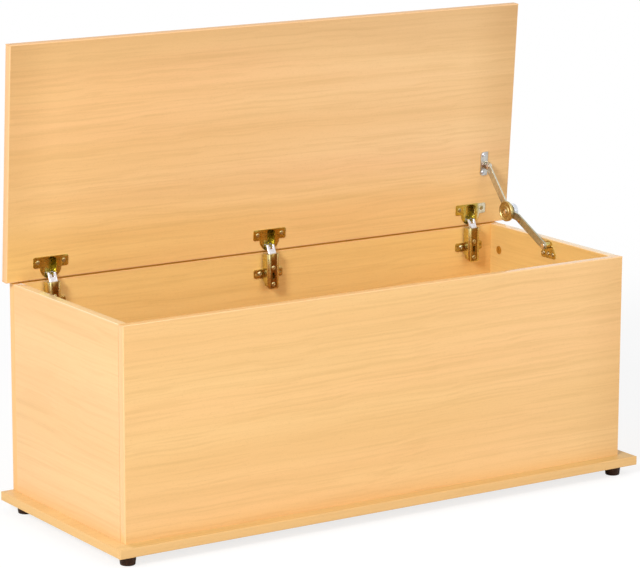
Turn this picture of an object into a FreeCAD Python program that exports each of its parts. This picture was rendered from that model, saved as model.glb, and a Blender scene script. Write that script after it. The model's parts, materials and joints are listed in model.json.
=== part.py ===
"""Storage chest of beech-effect board: a box on a projecting base board, with a lid on three concealed
cup hinges and a jointed friction stay at its right end. Lengths are millimetres and angles are degrees.
X runs along the chest to its right, Y to its back and Z up. The origin is on the floor under the middle
of the base board. The lid is modelled shut and then turned open about its hinge pole."""
import FreeCAD, Part
import json
import math
import os

# Boards and the box that they make
board = 15.0
edge_band = 1.5
arris = 1.2
base_length = 1000.0
base_depth = 387.0
side_overhang = 22.0
front_overhang = 23.0
body_height = 342.0
foot_height = 18.5

# The lid, shut and open
lid_side_overhang = 15.0
lid_front_overhang = 23.0
lid_rear_set = 2.0
lid_shut_gap = 3.0
lid_open_angle = 86.0
lid_open_inset = 18.0
lid_open_lift = 3.0

# Clearances
glue_gap = 0.05
running_gap = 0.05
moving_gap = 0.3
overrun = 5.0

# Feet and their screws
foot_inset_x = 29.0
foot_inset_y = 28.0
foot_top_radius = 14.0
foot_top_lip = 1.5
foot_waist_radius = 12.2
foot_waist_height = 6.0
foot_ring_radius = 12.7
foot_ring_height = 4.2
foot_sole_radius = 11.0
foot_sole_chamfer = 1.6
foot_recess_radius = 5.0
foot_recess_depth = 9.0
foot_screw_radius = 2.0
foot_screw_bite = 12.0

# Cam fittings that draw the side boards to the front and back boards
cam_radius = 7.5
cam_depth = 12.5
cam_sink = 0.4
cam_setback = 24.0
cam_height_inset = 44.0
cam_slot_half = 4.0
cam_recess_half_length = 4.6
cam_recess_half_width = 1.0
cam_recess_depth = 2.0
bolt_thread_radius = 2.5
bolt_thread_length = 10.5
bolt_shank_radius = 3.4
bolt_shank_length = 15.5
bolt_neck_radius = 1.8
bolt_neck_length = 5.0
bolt_head_radius = 3.2
bolt_head_length = 4.0
bolt_bore_radius = 4.0

# Wooden dowels
dowel_radius = 4.0
dowel_length = 30.0
dowel_thin_board_depth = 10.5
dowel_chamfer = 0.8
dowel_spacing = 32.0
dowel_end_space = 0.8

# Screws that hold the base board from below, and the dowels beside them
base_screw_radius = 2.4
base_screw_length = 48.0
base_screw_head_radius = 5.0
base_screw_head_depth = 3.4
base_screw_length_shares = (-0.32, 0.0, 0.32)
base_dowel_length_shares = (-0.45, -0.16, 0.16, 0.45)
base_dowel_depth_shares = (-0.3, 0.3)

# Cross recess that every screw head has
recess_length_share = 0.62
recess_width_share = 0.16
recess_depth_share = 0.55

# Concealed hinges: places along the chest, cup, flange and its screws
hinge_from_side = 49.0
hinge_sides = {"left": -1, "middle": 0, "right": 1}
cup_radius = 17.5
cup_edge_distance = 2.0
cup_depth = 12.0
cup_wall = 0.8
cup_mouth_half_width = 10.5
cup_floor_fillet = 1.2
cup_bore_spare = 0.2
flange_thickness = 1.0
flange_rim = 1.5
wing_half_length = 31.5
wing_height = 18.0
wing_offset = 8.7
wing_corner = 3.0
wing_screw_x = 23.5
cup_screw_radius = 1.7
cup_screw_length = 10.5
cup_screw_head_radius = 3.6
cup_screw_head_height = 1.0

# Hinge links: fixed pins on the arm, moving pins in the cup, and the plates between them
outer_pin_standoff = 14.5
outer_pin_drop = 3.0
inner_pin_standoff = 6.5
inner_pin_drop = 3.5
outer_cup_pin_reach = 6.0
inner_cup_pin_reach = 0.8
link_pin_radius = 0.9
cup_pin_radius = 0.7
cup_pin_space = 0.4
outer_link_plate = 1.6
outer_link_half_width = 7.5
outer_link_cheek_inner = 3.1
outer_link_cheek_outer = 7.5
outer_link_eye_radius = 2.5
outer_link_tip_radius = 1.7
outer_link_knee_standoff = 3.5
outer_link_knee_rise = 0.6
outer_link_web_share = 0.55
outer_link_slip = 2.1
inner_link_plate = 1.6
inner_link_half_width = 2.4
inner_link_eye_radius = 2.2
inner_link_tip_radius = 1.6
inner_link_knee_standoff = 2.0
inner_link_knee_height = 5.7
inner_link_slip = 0.4

# Hinge arm and the winged plate that it clips to
arm_half_width = 11.6
arm_metal = 1.3
arm_standoff = 18.6
arm_shoulder = 3.5
arm_recess_half_width = 6.4
arm_recess_depth = 0.5
arm_length = 60.0
arm_mouth_drop = 0.8
arm_back_space = 2.6
arm_tail_radius = 6.0
arm_tail_rise = 9.0
arm_slot_drop = 37.5
arm_slot_half_length = 3.2
arm_slot_radius = 2.4
arm_screw_shares = (0.41, 0.875)
arm_screw_radius = 2.3
arm_screw_head_radius = 3.9
arm_screw_head_height = 1.2
plate_centre_drop = 35.5
plate_block_half_width = 7.6
plate_block_half_height = 21.0
plate_block_thickness = 10.5
plate_heel_depth = 3.5
plate_heel_rise = 9.5
plate_wing_half_length = 28.0
plate_wing_half_height = 7.2
plate_wing_thickness = 2.2
plate_wing_corner = 3.0
plate_screw_x = 17.0
plate_screw_radius = 1.9
plate_screw_length = 13.0
plate_screw_head_radius = 4.0
plate_screw_head_height = 1.8
plate_end_hole_x = 24.2
plate_end_hole_radius = 1.7

# Stay: pivots, measured from the boards that carry them
stay_lid_pivot_reach = 104.0
stay_lid_pivot_standoff = 8.6
stay_elbow_reach = 79.0
stay_elbow_above_top = 36.7
stay_side_pivot_reach = 171.6
stay_side_pivot_drop = 9.3

# Stay: layers from the inside of the chest towards its right side board
stay_metal = 3.0
upper_arm_from_side = 23.5
stay_half_width = 6.5
stay_rivet_radius = 2.5
stay_rivet_head_radius = 4.6
stay_rivet_head_height = 1.5
friction_washer = 0.5
friction_washer_radius = 8.0
lower_arm_from_side = 16.0
joggle_start = 13.5
joggle_run = 6.0
disc_radius = 17.5
disc_thickness = 5.0
disc_rim_width = 2.2
disc_groove_depth = 1.2
disc_hub_radius = 8.5
disc_hub_groove = 1.4
disc_arris = 0.6
knob_radius = 12.0
knob_thickness = 8.0
knob_flutes = 16
knob_flute_radius = 1.3
knob_flute_sink = 0.7
knob_arris = 0.8
stop_rivet_place = 27.0
stop_rivet_offset = 3.4
stop_rivet_radius = 1.3
stop_rivet_head_radius = 2.1
stop_rivet_head_height = 1.0

# Stay: bracket on the lid and its screws
lid_bracket_metal = 1.8
lid_bracket_half_length = 21.0
lid_bracket_reach = 3.5
lid_bracket_width = 14.5
lid_bracket_ear_half_length = 8.0
lid_bracket_ear_rise = 6.4
lid_bracket_corner = 5.5
bracket_screw_spacing = 31.0
bracket_screw_inset = 5.0
bracket_screw_radius = 1.8
bracket_screw_length = 11.0
bracket_screw_head_radius = 3.6
bracket_screw_head_height = 1.6

# Stay: three-cornered bracket on the side board
side_bracket_metal = 2.0
side_bracket_top_drop = 3.0
side_bracket_bottom_drop = 32.0
side_bracket_set_back = 4.0
side_bracket_half_base = 19.0
side_bracket_half_top = 5.0
side_bracket_shoulder = 8.0
side_bracket_corner = 3.0
side_bracket_boss_radius = 5.5
side_bracket_screw_drop = 25.0
side_bracket_screw_shares = (-0.66, 0.0, 0.66)

# Places that follow from the sizes above
half_board = board / 2
half_band = edge_band / 2
body_length = base_length - 2 * side_overhang
body_depth = base_depth - front_overhang
lid_length = body_length + 2 * lid_side_overhang
lid_depth = lid_front_overhang + body_depth - lid_rear_set
base_bottom = foot_height
base_top = base_bottom + board
body_top = base_top + body_height
body_side = body_length / 2
inner_side = body_side - board
body_back = base_depth / 2
body_front = body_back - body_depth
inner_back = body_back - board
inner_front = body_front + board
front_middle = body_front + half_board
back_middle = body_back - half_board
side_middle = body_side - half_board
hinge_places_x = {name: side * (inner_side - hinge_from_side) for name, side in hinge_sides.items()}
lid_back_shut = body_back - lid_rear_set
lid_front_shut = lid_back_shut - lid_depth
lid_bottom_shut = body_top + lid_shut_gap
lid_top_shut = lid_bottom_shut + board

UP = FreeCAD.Vector(0, 0, 1)
DOWN = FreeCAD.Vector(0, 0, -1)
RIGHT = FreeCAD.Vector(1, 0, 0)
BACK = FreeCAD.Vector(0, 1, 0)
FRONT = FreeCAD.Vector(0, -1, 0)
ALL_ROUND = 360.0
HALF_TURN = 180.0


# Places in the plane of the hinge, as (Y, Z) pairs
def plus(a, b, times=1.0):
    """Point a moved along b, times over."""
    return (a[0] + b[0] * times, a[1] + b[1] * times)


def minus(a, b):
    """Step from b to a."""
    return (a[0] - b[0], a[1] - b[1])


def size_of(step):
    """Length of a step."""
    return math.hypot(step[0], step[1])


def toward(a, b, distance):
    """Point at a distance from a, on the line to b."""
    step = minus(b, a)
    return plus(a, step, distance / size_of(step))


def turned(step, degrees):
    """Step turned from Y towards Z."""
    c, s = math.cos(math.radians(degrees)), math.sin(math.radians(degrees))
    return (step[0] * c - step[1] * s, step[0] * s + step[1] * c)


def about(centre, place, degrees):
    """Place turned about a centre, from Y towards Z."""
    return plus(centre, turned(minus(place, centre), degrees))


def heading(a, b):
    """Direction from a to b, in degrees from Y towards Z."""
    step = minus(b, a)
    return math.degrees(math.atan2(step[1], step[0]))


def short_way(degrees):
    """The same turn, between minus and plus half a turn."""
    return (degrees + HALF_TURN) % ALL_ROUND - HALF_TURN


def find_pole():
    """The one centre about which a turn of the open angle carries the shut lid to the open lid."""
    shut = (lid_back_shut, lid_bottom_shut)
    opened = (body_back - lid_open_inset, body_top + lid_open_lift)
    step = minus(opened, shut)
    middle = plus(shut, step, 0.5)
    ratio = 0.5 / math.tan(math.radians(lid_open_angle) / 2)
    return plus(middle, (step[1], -step[0]), ratio)


pole = find_pole()


def opened(place):
    """A place on the shut lid, carried to the open lid."""
    return about(pole, place, -lid_open_angle)


def cup_pin(fixed_pin, reach):
    """Open and shut places of the pin in the cup that keeps its distance from a fixed pin in both.
    It lies at its reach from the pole, turned half the open angle either way from the fixed pin."""
    step = minus(fixed_pin, pole)
    unit = (step[0] / size_of(step), step[1] / size_of(step))
    half = lid_open_angle / 2
    return plus(pole, turned(unit, -half), reach), plus(pole, turned(unit, half), reach)


outer_pin = (inner_back - outer_pin_standoff, body_top - outer_pin_drop)
inner_pin = (inner_back - inner_pin_standoff, body_top - inner_pin_drop)
outer_cup_pin, outer_cup_pin_shut = cup_pin(outer_pin, outer_cup_pin_reach)
inner_cup_pin, inner_cup_pin_shut = cup_pin(inner_pin, inner_cup_pin_reach)
outer_link_turn = short_way(heading(outer_pin, outer_cup_pin_shut) - heading(outer_pin, outer_cup_pin))
inner_link_turn = short_way(heading(inner_pin, inner_cup_pin_shut) - heading(inner_pin, inner_cup_pin))

lid_pivot_shut = (lid_back_shut - stay_lid_pivot_reach, lid_bottom_shut - stay_lid_pivot_standoff)
lid_pivot = opened(lid_pivot_shut)
side_pivot = (inner_back - stay_side_pivot_reach, body_top - stay_side_pivot_drop)
elbow = (inner_back - stay_elbow_reach, body_top + stay_elbow_above_top)
upper_length = size_of(minus(lid_pivot, elbow))
lower_length = size_of(minus(elbow, side_pivot))


def elbow_for(lid_place):
    """Elbow of the two arms for a place of the lid pivot: it folds down and back."""
    step = minus(lid_place, side_pivot)
    span = size_of(step)
    unit = (step[0] / span, step[1] / span)
    along = (lower_length**2 - upper_length**2 + span**2) / (2 * span)
    off = math.sqrt(lower_length**2 - along**2)
    return plus(plus(side_pivot, unit, along), (unit[1], -unit[0]), off)


elbow_shut = elbow_for(lid_pivot_shut)
upper_turn = short_way(heading(elbow_shut, lid_pivot_shut) - heading(elbow, lid_pivot))
lower_turn = short_way(heading(side_pivot, elbow_shut) - heading(side_pivot, elbow))

upper_arm_x = inner_side - upper_arm_from_side
lower_arm_x = inner_side - lower_arm_from_side
elbow_arm_x = upper_arm_x + stay_metal + friction_washer + 2 * running_gap
disc_x = upper_arm_x - running_gap - disc_thickness
knob_x = elbow_arm_x + stay_metal + running_gap
ear_x = upper_arm_x + stay_metal + moving_gap


# Solids
def at(x, place):
    """Vector at an X, over a place in the plane of the hinge."""
    return FreeCAD.Vector(x, place[0], place[1])


def block(low, high):
    """Box between two corners."""
    size = [b - a for a, b in zip(low, high)]
    return Part.makeBox(*size, FreeCAD.Vector(*low))


def rod(start, direction, radius, length):
    """Cylinder."""
    return Part.makeCylinder(radius, length, start, direction)


def cone(start, direction, radius, end_radius, length):
    """Cone or its frustum."""
    return Part.makeCone(radius, end_radius, length, start, direction)


def joined(solids):
    """One solid made of several that touch or overlap."""
    solid = solids[0].multiFuse(solids[1:]) if len(solids) > 1 else solids[0]
    return solid.removeSplitter()


def without(solid, cuts):
    """Solid with others cut away."""
    return solid.cut(cuts).removeSplitter() if cuts else solid


def pair(low, high, half):
    """The two matching spans of X either side of a middle, each between low and high from it."""
    return ((half - high, half - low), (half + low, half + high))


def lozenge(a, b, radius, x_low, x_high):
    """Flat bar with round ends about two places in the plane of the hinge."""
    along = minus(b, a)
    unit = (along[0] / size_of(along), along[1] / size_of(along))
    side = (-unit[1], unit[0])
    corners = [plus(a, side, radius), plus(b, side, radius), plus(b, side, -radius), plus(a, side, -radius)]
    tips = [plus(b, unit, radius), plus(a, unit, -radius)]
    v = [at(x_low, c) for c in corners]
    t = [at(x_low, c) for c in tips]
    edges = [Part.LineSegment(v[0], v[1]), Part.Arc(v[1], t[0], v[2])]
    edges += [Part.LineSegment(v[2], v[3]), Part.Arc(v[3], t[1], v[0])]
    wire = Part.Wire([e.toShape() for e in edges])
    return Part.Face(wire).extrude(RIGHT * (x_high - x_low))


def disc(centre, radius, x_low, x_high):
    """Round plate across X."""
    return rod(at(x_low, centre), RIGHT, radius, x_high - x_low)


def sheet(places, x_low, x_high):
    """Flat plate across X with straight edges between places in the plane of the hinge."""
    ring = [at(x_low, p) for p in places] + [at(x_low, places[0])]
    return Part.Face(Part.makePolygon(ring)).extrude(RIGHT * (x_high - x_low))


def rounded_plate(centre, half_x, half_y, thickness, corner):
    """Plate with rounded corners, from its centre upwards along Z."""
    low = (centre[0] - half_x, centre[1] - half_y, centre[2])
    high = (centre[0] + half_x, centre[1] + half_y, centre[2] + thickness)
    plate = block(low, high)
    upright = [e for e in plate.Edges if abs(e.tangentAt(e.FirstParameter).z) > 0.5]
    return plate.makeFillet(corner, upright)


def spun(profile, start, direction):
    """Solid of revolution: the profile's (radius, height) points turned about an axis."""
    points = [FreeCAD.Vector(r, 0, h) for r, h in profile]
    face = Part.Face(Part.makePolygon(points + points[:1]))
    solid = face.revolve(FreeCAD.Vector(), UP, ALL_ROUND)
    solid.Placement = FreeCAD.Placement(start, FreeCAD.Rotation(UP, direction))
    return solid


def cross_recess(start, direction, radius, height):
    """Cutter for the cross in a screw head whose top is at start, with direction pointing out of it."""
    half_length = radius * recess_length_share
    half_width = radius * recess_width_share
    depth = height * recess_depth_share
    one = block((-half_length, -half_width, -depth), (half_length, half_width, depth))
    other = block((-half_width, -half_length, -depth), (half_width, half_length, depth))
    cutter = one.fuse(other)
    cutter.Placement = FreeCAD.Placement(start, FreeCAD.Rotation(UP, direction))
    return cutter


def pan_screw(seat, into, radius, length, head_radius, head_height):
    """Screw whose low domed head sits on a surface and whose shank runs into it."""
    out = into * -1
    crown = head_height / 2
    top = seat + out * head_height
    head = spun([(0, 0), (head_radius, 0), (head_radius, crown), (head_radius - crown, head_height),
                 (0, head_height)], seat, out)
    tip = radius
    shank = rod(seat, into, radius, length - tip)
    point = cone(seat + into * (length - tip), into, radius, radius / 2, tip)
    return without(joined([head, shank, point]), [cross_recess(top, out, head_radius, head_height)])


def flush_screw(seat, into, radius, length, head_radius, head_depth):
    """Screw whose countersunk head lies level with the surface."""
    head = cone(seat, into, head_radius, radius, head_depth)
    tip = radius
    shank = rod(seat, into, radius, length - tip)
    point = cone(seat + into * (length - tip), into, radius, radius / 2, tip)
    screw = joined([head, shank, point])
    return without(screw, [cross_recess(seat, into * -1, head_radius, head_depth)])


def screw_bore(seat, into, radius, length):
    """Cutter for the hole that a screw's shank fills."""
    return rod(seat, into, radius + glue_gap, length + glue_gap)


def flush_bore(seat, into, radius, length, head_radius, head_depth):
    """Cutter for a flush screw: its shank and its head."""
    slack = glue_gap
    head = cone(seat - into * slack, into, head_radius + 2 * slack, radius + slack, head_depth + slack)
    return screw_bore(seat - into * overrun, into, radius, length + overrun).fuse(head)


def dowel(middle, direction, before, after):
    """Dowel across a joint, reaching a length before and after the joint's face."""
    length = before + after
    profile = [(0, 0), (dowel_radius - dowel_chamfer, 0), (dowel_radius, dowel_chamfer),
               (dowel_radius, length - dowel_chamfer), (dowel_radius - dowel_chamfer, length), (0, length)]
    return spun(profile, middle - direction * before, direction)


def dowel_bore(middle, direction, before, after):
    """Cutter for both halves of a dowel's hole, a little deeper than the dowel at each end."""
    start = middle - direction * (before + dowel_end_space)
    return rod(start, direction, dowel_radius + glue_gap, before + after + 2 * dowel_end_space)


def band_strip(start, along, outward, length):
    """Edge band of one board edge. It starts at the middle of the edge's inner line, runs along, and its
    outer corners are rounded. Across is the board's thickness."""
    across = along.cross(outward)
    half = board / 2
    root = half - arris
    rim = edge_band - arris
    slant = arris * math.sqrt(0.5)

    def spot(side, out):
        return start + across * side + outward * out

    edges = [
        Part.LineSegment(spot(-half, 0), spot(half, 0)),
        Part.LineSegment(spot(half, 0), spot(half, rim)),
        Part.Arc(spot(half, rim), spot(root + slant, rim + slant), spot(root, edge_band)),
        Part.LineSegment(spot(root, edge_band), spot(-root, edge_band)),
        Part.Arc(spot(-root, edge_band), spot(-root - slant, rim + slant), spot(-half, rim)),
        Part.LineSegment(spot(-half, rim), spot(-half, 0)),
    ]
    wire = Part.Wire([e.toShape() for e in edges])
    return Part.Face(wire).extrude(along * length)


parts = {}


def keep(name, solids):
    """Files one node: a list of separate solids."""
    parts[name] = solids


# Base board, feet and what fixes them
def foot_places():
    """Names of the feet and their centres on the floor."""
    x = base_length / 2 - foot_inset_x
    y = base_depth / 2 - foot_inset_y
    return {"front_left": (-x, -y), "front_right": (x, -y), "back_left": (-x, y), "back_right": (x, y)}


def make_feet():
    """Moulded feet, each with a screw up into the base board."""
    profile = [
        (foot_screw_radius + glue_gap, foot_recess_depth), (foot_recess_radius, foot_recess_depth),
        (foot_recess_radius, 0), (foot_sole_radius, 0), (foot_ring_radius, foot_sole_chamfer),
        (foot_ring_radius, foot_ring_height), (foot_waist_radius, foot_waist_height),
        (foot_top_radius, foot_height - foot_top_lip), (foot_top_radius, foot_height),
        (foot_screw_radius + glue_gap, foot_height),
    ]
    screws = []
    for name, (x, y) in foot_places().items():
        keep("foot_" + name, [spun(profile, FreeCAD.Vector(x, y, 0), UP)])
        seat = FreeCAD.Vector(x, y, foot_recess_depth)
        length = foot_height - foot_recess_depth + foot_screw_bite
        head = foot_recess_radius - foot_screw_radius / 2
        screws.append(pan_screw(seat, UP, foot_screw_radius, length, head, foot_screw_radius))
    keep("foot_screws", screws)


def base_screw_places():
    """Feet of the upright screws: under the front and back boards, and under each side board."""
    row = [share * body_length for share in base_screw_length_shares]
    middle = (body_front + body_back) / 2
    rows = [(x, y) for y in (front_middle, back_middle) for x in row]
    return rows + [(x, middle) for x in (-side_middle, side_middle)]


def base_dowel_places():
    """Upright dowels under the front and back boards, and under each side board."""
    row = [share * body_length for share in base_dowel_length_shares]
    column = [(body_front + body_back) / 2 + share * body_depth for share in base_dowel_depth_shares]
    rows = [(x, y) for y in (front_middle, back_middle) for x in row]
    return rows + [(x, y) for x in (-side_middle, side_middle) for y in column]


dowel_rest = dowel_length - dowel_thin_board_depth


def base_cuts():
    """Everything that enters the base board or the lower edges of the boards on it."""
    cuts = []
    for x, y in base_screw_places():
        cuts.append(flush_bore(FreeCAD.Vector(x, y, base_bottom), UP, base_screw_radius, base_screw_length,
                               base_screw_head_radius, base_screw_head_depth))
    for x, y in base_dowel_places():
        cuts.append(dowel_bore(FreeCAD.Vector(x, y, base_top), UP, dowel_thin_board_depth, dowel_rest))
    return cuts


def make_base():
    """Base board with its four edge bands, screws and dowels."""
    half_x, half_y = base_length / 2, base_depth / 2
    core = block((edge_band - half_x, edge_band - half_y, base_bottom),
                 (half_x - edge_band, half_y - edge_band, base_top))
    cuts = base_cuts()
    for x, y in foot_places().values():
        cuts.append(screw_bore(FreeCAD.Vector(x, y, base_bottom), UP, foot_screw_radius, foot_screw_bite))
    keep("base_panel", [without(core, cuts)])
    level = base_bottom + half_board
    bands = []
    for side in (-1, 1):
        start = FreeCAD.Vector(-half_x, side * (half_y - edge_band), level)
        bands.append(band_strip(start, RIGHT, BACK * side, base_length))
        start = FreeCAD.Vector(side * (half_x - edge_band), edge_band - half_y, level)
        bands.append(band_strip(start, BACK, RIGHT * side, base_depth - 2 * edge_band))
    keep("base_edge_bands", bands)
    keep("base_screws", [
        flush_screw(FreeCAD.Vector(x, y, base_bottom), UP, base_screw_radius, base_screw_length,
                    base_screw_head_radius, base_screw_head_depth)
        for x, y in base_screw_places()])
    keep("base_dowels", [
        dowel(FreeCAD.Vector(x, y, base_top), UP, dowel_thin_board_depth, dowel_rest)
        for x, y in base_dowel_places()])


# Corner joints of the box: a cam fitting and a dowel near the top and near the bottom of each corner
def corner_joints():
    """For each corner: side of X, direction from the long board into the side board, and the two heights."""
    for side in (-1, 1):
        for face, inward in ((inner_front, BACK), (inner_back, FRONT)):
            yield side, face, inward


def cam_heights():
    """Heights of the cam fittings, each with the way to its dowel."""
    return ((base_top + cam_height_inset, 1), (body_top - cam_height_inset, -1))


def cam_solid(centre, side):
    """Cam: a drum with a slot for the bolt's head and a cross in its face."""
    depth = cam_depth - cam_sink - glue_gap
    face = centre + RIGHT * (side * (cam_sink - half_board))
    drum = rod(face, RIGHT * side, cam_radius - glue_gap, depth)
    slot = block((-cam_slot_half, -cam_radius - overrun, -cam_slot_half),
                 (cam_slot_half, cam_radius - cam_recess_half_width, cam_slot_half))
    return drum, slot, face


def make_corner_fittings():
    """Cams, their bolts and the corner dowels, with the cuts that they need in the boards."""
    cams, bolts, dowels = [], [], []
    cuts = []
    for side, face, inward in corner_joints():
        for height, way in cam_heights():
            joint = FreeCAD.Vector(side * side_middle, face, height)
            centre = joint + inward * cam_setback
            drum, slot, front = cam_solid(centre, side)
            slot.Placement = FreeCAD.Placement(centre, FreeCAD.Rotation(BACK, inward))
            arms = [
                block((-cam_recess_half_width, -cam_recess_half_length, -cam_recess_half_width),
                      (cam_recess_half_width, cam_recess_half_length, cam_recess_half_width)),
                block((-cam_recess_half_width, -cam_recess_half_width, -cam_recess_half_length),
                      (cam_recess_half_width, cam_recess_half_width, cam_recess_half_length)),
            ]
            for arm in arms:
                arm.translate(front)
            cams.append(without(drum, [slot] + arms))
            bolt = [
                rod(joint - inward * bolt_thread_length, inward, bolt_thread_radius, bolt_thread_length),
                rod(joint, inward, bolt_shank_radius, bolt_shank_length),
                rod(joint + inward * bolt_shank_length, inward, bolt_neck_radius, bolt_neck_length),
                rod(joint + inward * (bolt_shank_length + bolt_neck_length), inward, bolt_head_radius,
                    bolt_head_length),
            ]
            bolts.append(joined(bolt))
            cuts.append(rod(joint - inward * (bolt_thread_length + glue_gap), inward,
                            bolt_thread_radius + glue_gap, bolt_thread_length + overrun))
            cuts.append(rod(joint, inward, bolt_bore_radius, cam_setback))
            mouth = centre + RIGHT * (side * (cam_depth - half_board))
            cuts.append(rod(mouth, RIGHT * -side, cam_radius, cam_depth + overrun))
            peg = joint + UP * (way * dowel_spacing)
            dowels.append(dowel(peg, inward, dowel_thin_board_depth, dowel_rest))
            cuts.append(dowel_bore(peg, inward, dowel_thin_board_depth, dowel_rest))
    keep("cam_locks", cams)
    keep("cam_bolts", bolts)
    keep("corner_dowels", dowels)
    return cuts


def make_box_boards(corner_cuts):
    """Front, back and side boards, each with the bands on its bare edges."""
    low_cuts = base_cuts()
    core_top = body_top - edge_band
    for name, low, high in (("front", body_front, inner_front), ("back", inner_back, body_back)):
        core = block((edge_band - body_side, low, base_top), (body_side - edge_band, high, core_top))
        extra = hinge_plate_cuts() if name == "back" else []
        keep(name + "_panel", [without(core, low_cuts + corner_cuts + extra)])
        middle = (low + high) / 2
        bands = [band_strip(FreeCAD.Vector(-body_side, middle, core_top), RIGHT, UP, body_length)]
        for side in (-1, 1):
            start = FreeCAD.Vector(side * (body_side - edge_band), middle, base_top)
            bands.append(band_strip(start, UP, RIGHT * side, core_top - base_top))
        keep(name + "_panel_edge_bands", bands)
    strips = []
    for name, side in (("left", -1), ("right", 1)):
        near, far = sorted((side * inner_side, side * body_side))
        core = block((near, inner_front, base_top), (far, inner_back, core_top))
        extra = side_bracket_cuts() if name == "right" else []
        keep(name + "_side_panel", [without(core, low_cuts + corner_cuts + extra)])
        start = FreeCAD.Vector(side * side_middle, inner_front, core_top)
        strips.append(band_strip(start, BACK, UP, inner_back - inner_front))
    keep("side_panel_edge_bands", strips)


# Lid board, modelled shut
def swing(solid):
    """Turns a solid of the shut lid to the open place that it has at rest."""
    solid.rotate(at(0, pole), RIGHT, -lid_open_angle)
    return solid


def cup_centre(x):
    """Centre of a cup's bore on the underside of the shut lid."""
    return FreeCAD.Vector(x, lid_back_shut - cup_edge_distance - cup_radius, lid_bottom_shut)


def cup_screw_seats(x):
    """Where the two screws of a cup pass the flange's face."""
    centre = cup_centre(x) + FRONT * wing_offset + DOWN * flange_thickness
    return [centre + RIGHT * (side * wing_screw_x) for side in (-1, 1)]


def lid_bracket_seats():
    """Where the screws of the stay's lid bracket pass the bracket's face, on the shut lid."""
    x = ear_x + lid_bracket_metal - lid_bracket_width + bracket_screw_inset
    middle = FreeCAD.Vector(x, lid_pivot_shut[0], lid_bottom_shut - lid_bracket_metal)
    half = bracket_screw_spacing / 2
    return [middle + BACK * (side * half) + FRONT * lid_bracket_reach for side in (-1, 1)]


def make_lid():
    """Lid board with its cup bores, screw holes and edge bands."""
    half = lid_length / 2
    core = block((edge_band - half, lid_front_shut + edge_band, lid_bottom_shut),
                 (half - edge_band, lid_back_shut - edge_band, lid_top_shut))
    cuts = []
    for x in hinge_places_x.values():
        cuts.append(rod(cup_centre(x) + DOWN * overrun, UP, cup_radius + glue_gap,
                        cup_depth + cup_bore_spare + overrun))
        depth = cup_screw_length + flange_thickness
        cuts += [screw_bore(seat, UP, cup_screw_radius, depth) for seat in cup_screw_seats(x)]
    cuts += [screw_bore(seat, UP, bracket_screw_radius, bracket_screw_length)
             for seat in lid_bracket_seats()]
    keep("lid_panel", [swing(without(core, cuts))])
    level = lid_bottom_shut + half_board
    bands = []
    for edge, outward in ((lid_front_shut + edge_band, FRONT), (lid_back_shut - edge_band, BACK)):
        bands.append(band_strip(FreeCAD.Vector(-half, edge, level), RIGHT, outward, lid_length))
    for side in (-1, 1):
        start = FreeCAD.Vector(side * (half - edge_band), lid_front_shut + edge_band, level)
        bands.append(band_strip(start, BACK, RIGHT * side, lid_depth - 2 * edge_band))
    keep("lid_edge_bands", [swing(b) for b in bands])


# Hinge cups and what they hold
def cup_chord(place, radius):
    """Half the width across a cup of a radius, at the rear of a pin's place on the shut lid."""
    away = place[0] + cup_pin_radius - cup_centre(0).y
    return math.sqrt(radius**2 - away**2) - glue_gap


def cup_pins():
    """Spans of X, from a cup's middle, of each pin and its place: the outer link's pins are two stubs that
    leave room for the inner link, and the inner link's pin goes right across. They end in the cup's wall."""
    outer_end = cup_chord(outer_cup_pin_shut, cup_radius)
    inner_end = cup_chord(inner_cup_pin_shut, cup_radius)
    start = outer_link_cheek_inner - running_gap
    stubs = [(outer_cup_pin_shut, -outer_end, -start), (outer_cup_pin_shut, start, outer_end)]
    return stubs + [(inner_cup_pin_shut, -inner_end, inner_end)]


def make_cups():
    """Pressed cups with winged flanges, their screws and their pins."""
    screws, pins = [], []
    for name, x in hinge_places_x.items():
        centre = cup_centre(x)
        shell = rod(centre, UP, cup_radius, cup_depth)
        floor_edge = [e for e in shell.Edges if abs(e.CenterOfMass.z - centre.z - cup_depth) < glue_gap]
        shell = shell.makeFillet(cup_floor_fillet, floor_edge)
        rim = rod(centre + DOWN * flange_thickness, UP, cup_radius + flange_rim, flange_thickness)
        wing_middle = centre + FRONT * wing_offset + DOWN * flange_thickness
        wings = rounded_plate(wing_middle, wing_half_length, wing_height / 2, flange_thickness, wing_corner)
        hollow = rod(centre, UP, cup_radius - cup_wall, cup_depth - cup_wall)
        mouth = rod(centre + DOWN * overrun, UP, cup_radius - cup_wall, overrun + cup_wall)
        mouth = mouth.common(block((x - cup_mouth_half_width, centre.y - cup_radius, centre.z - overrun),
                                   (x + cup_mouth_half_width, centre.y + cup_radius, centre.z + cup_wall)))
        behind = centre + BACK * cup_radius
        trim = block((x - cup_radius, behind.y, behind.z - overrun),
                     (x + cup_radius, behind.y + overrun, behind.z + overrun))
        crest = centre + FRONT * (wing_offset + wing_height / 2)
        level = block((x - cup_radius, crest.y - overrun, crest.z - overrun),
                      (x + cup_radius, crest.y, crest.z + overrun))
        cuts = [hollow, mouth, trim, level]
        for place, low, high in cup_pins():
            pins.append(disc(place, cup_pin_radius, x + low, x + high))
            cuts.append(disc(place, cup_pin_radius + glue_gap, x + low, x + high))
        for seat in cup_screw_seats(x):
            cuts.append(screw_bore(seat + DOWN * overrun, UP, cup_screw_radius, overrun + cup_screw_length))
            screws.append(pan_screw(seat, UP, cup_screw_radius, cup_screw_length + flange_thickness,
                                    cup_screw_head_radius, cup_screw_head_height))
        keep("hinge_cup_" + name, [swing(without(joined([shell, rim, wings]), cuts))])
    keep("hinge_cup_screws", [swing(s) for s in screws])
    keep("hinge_cup_pins", [swing(p) for p in pins])


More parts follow.
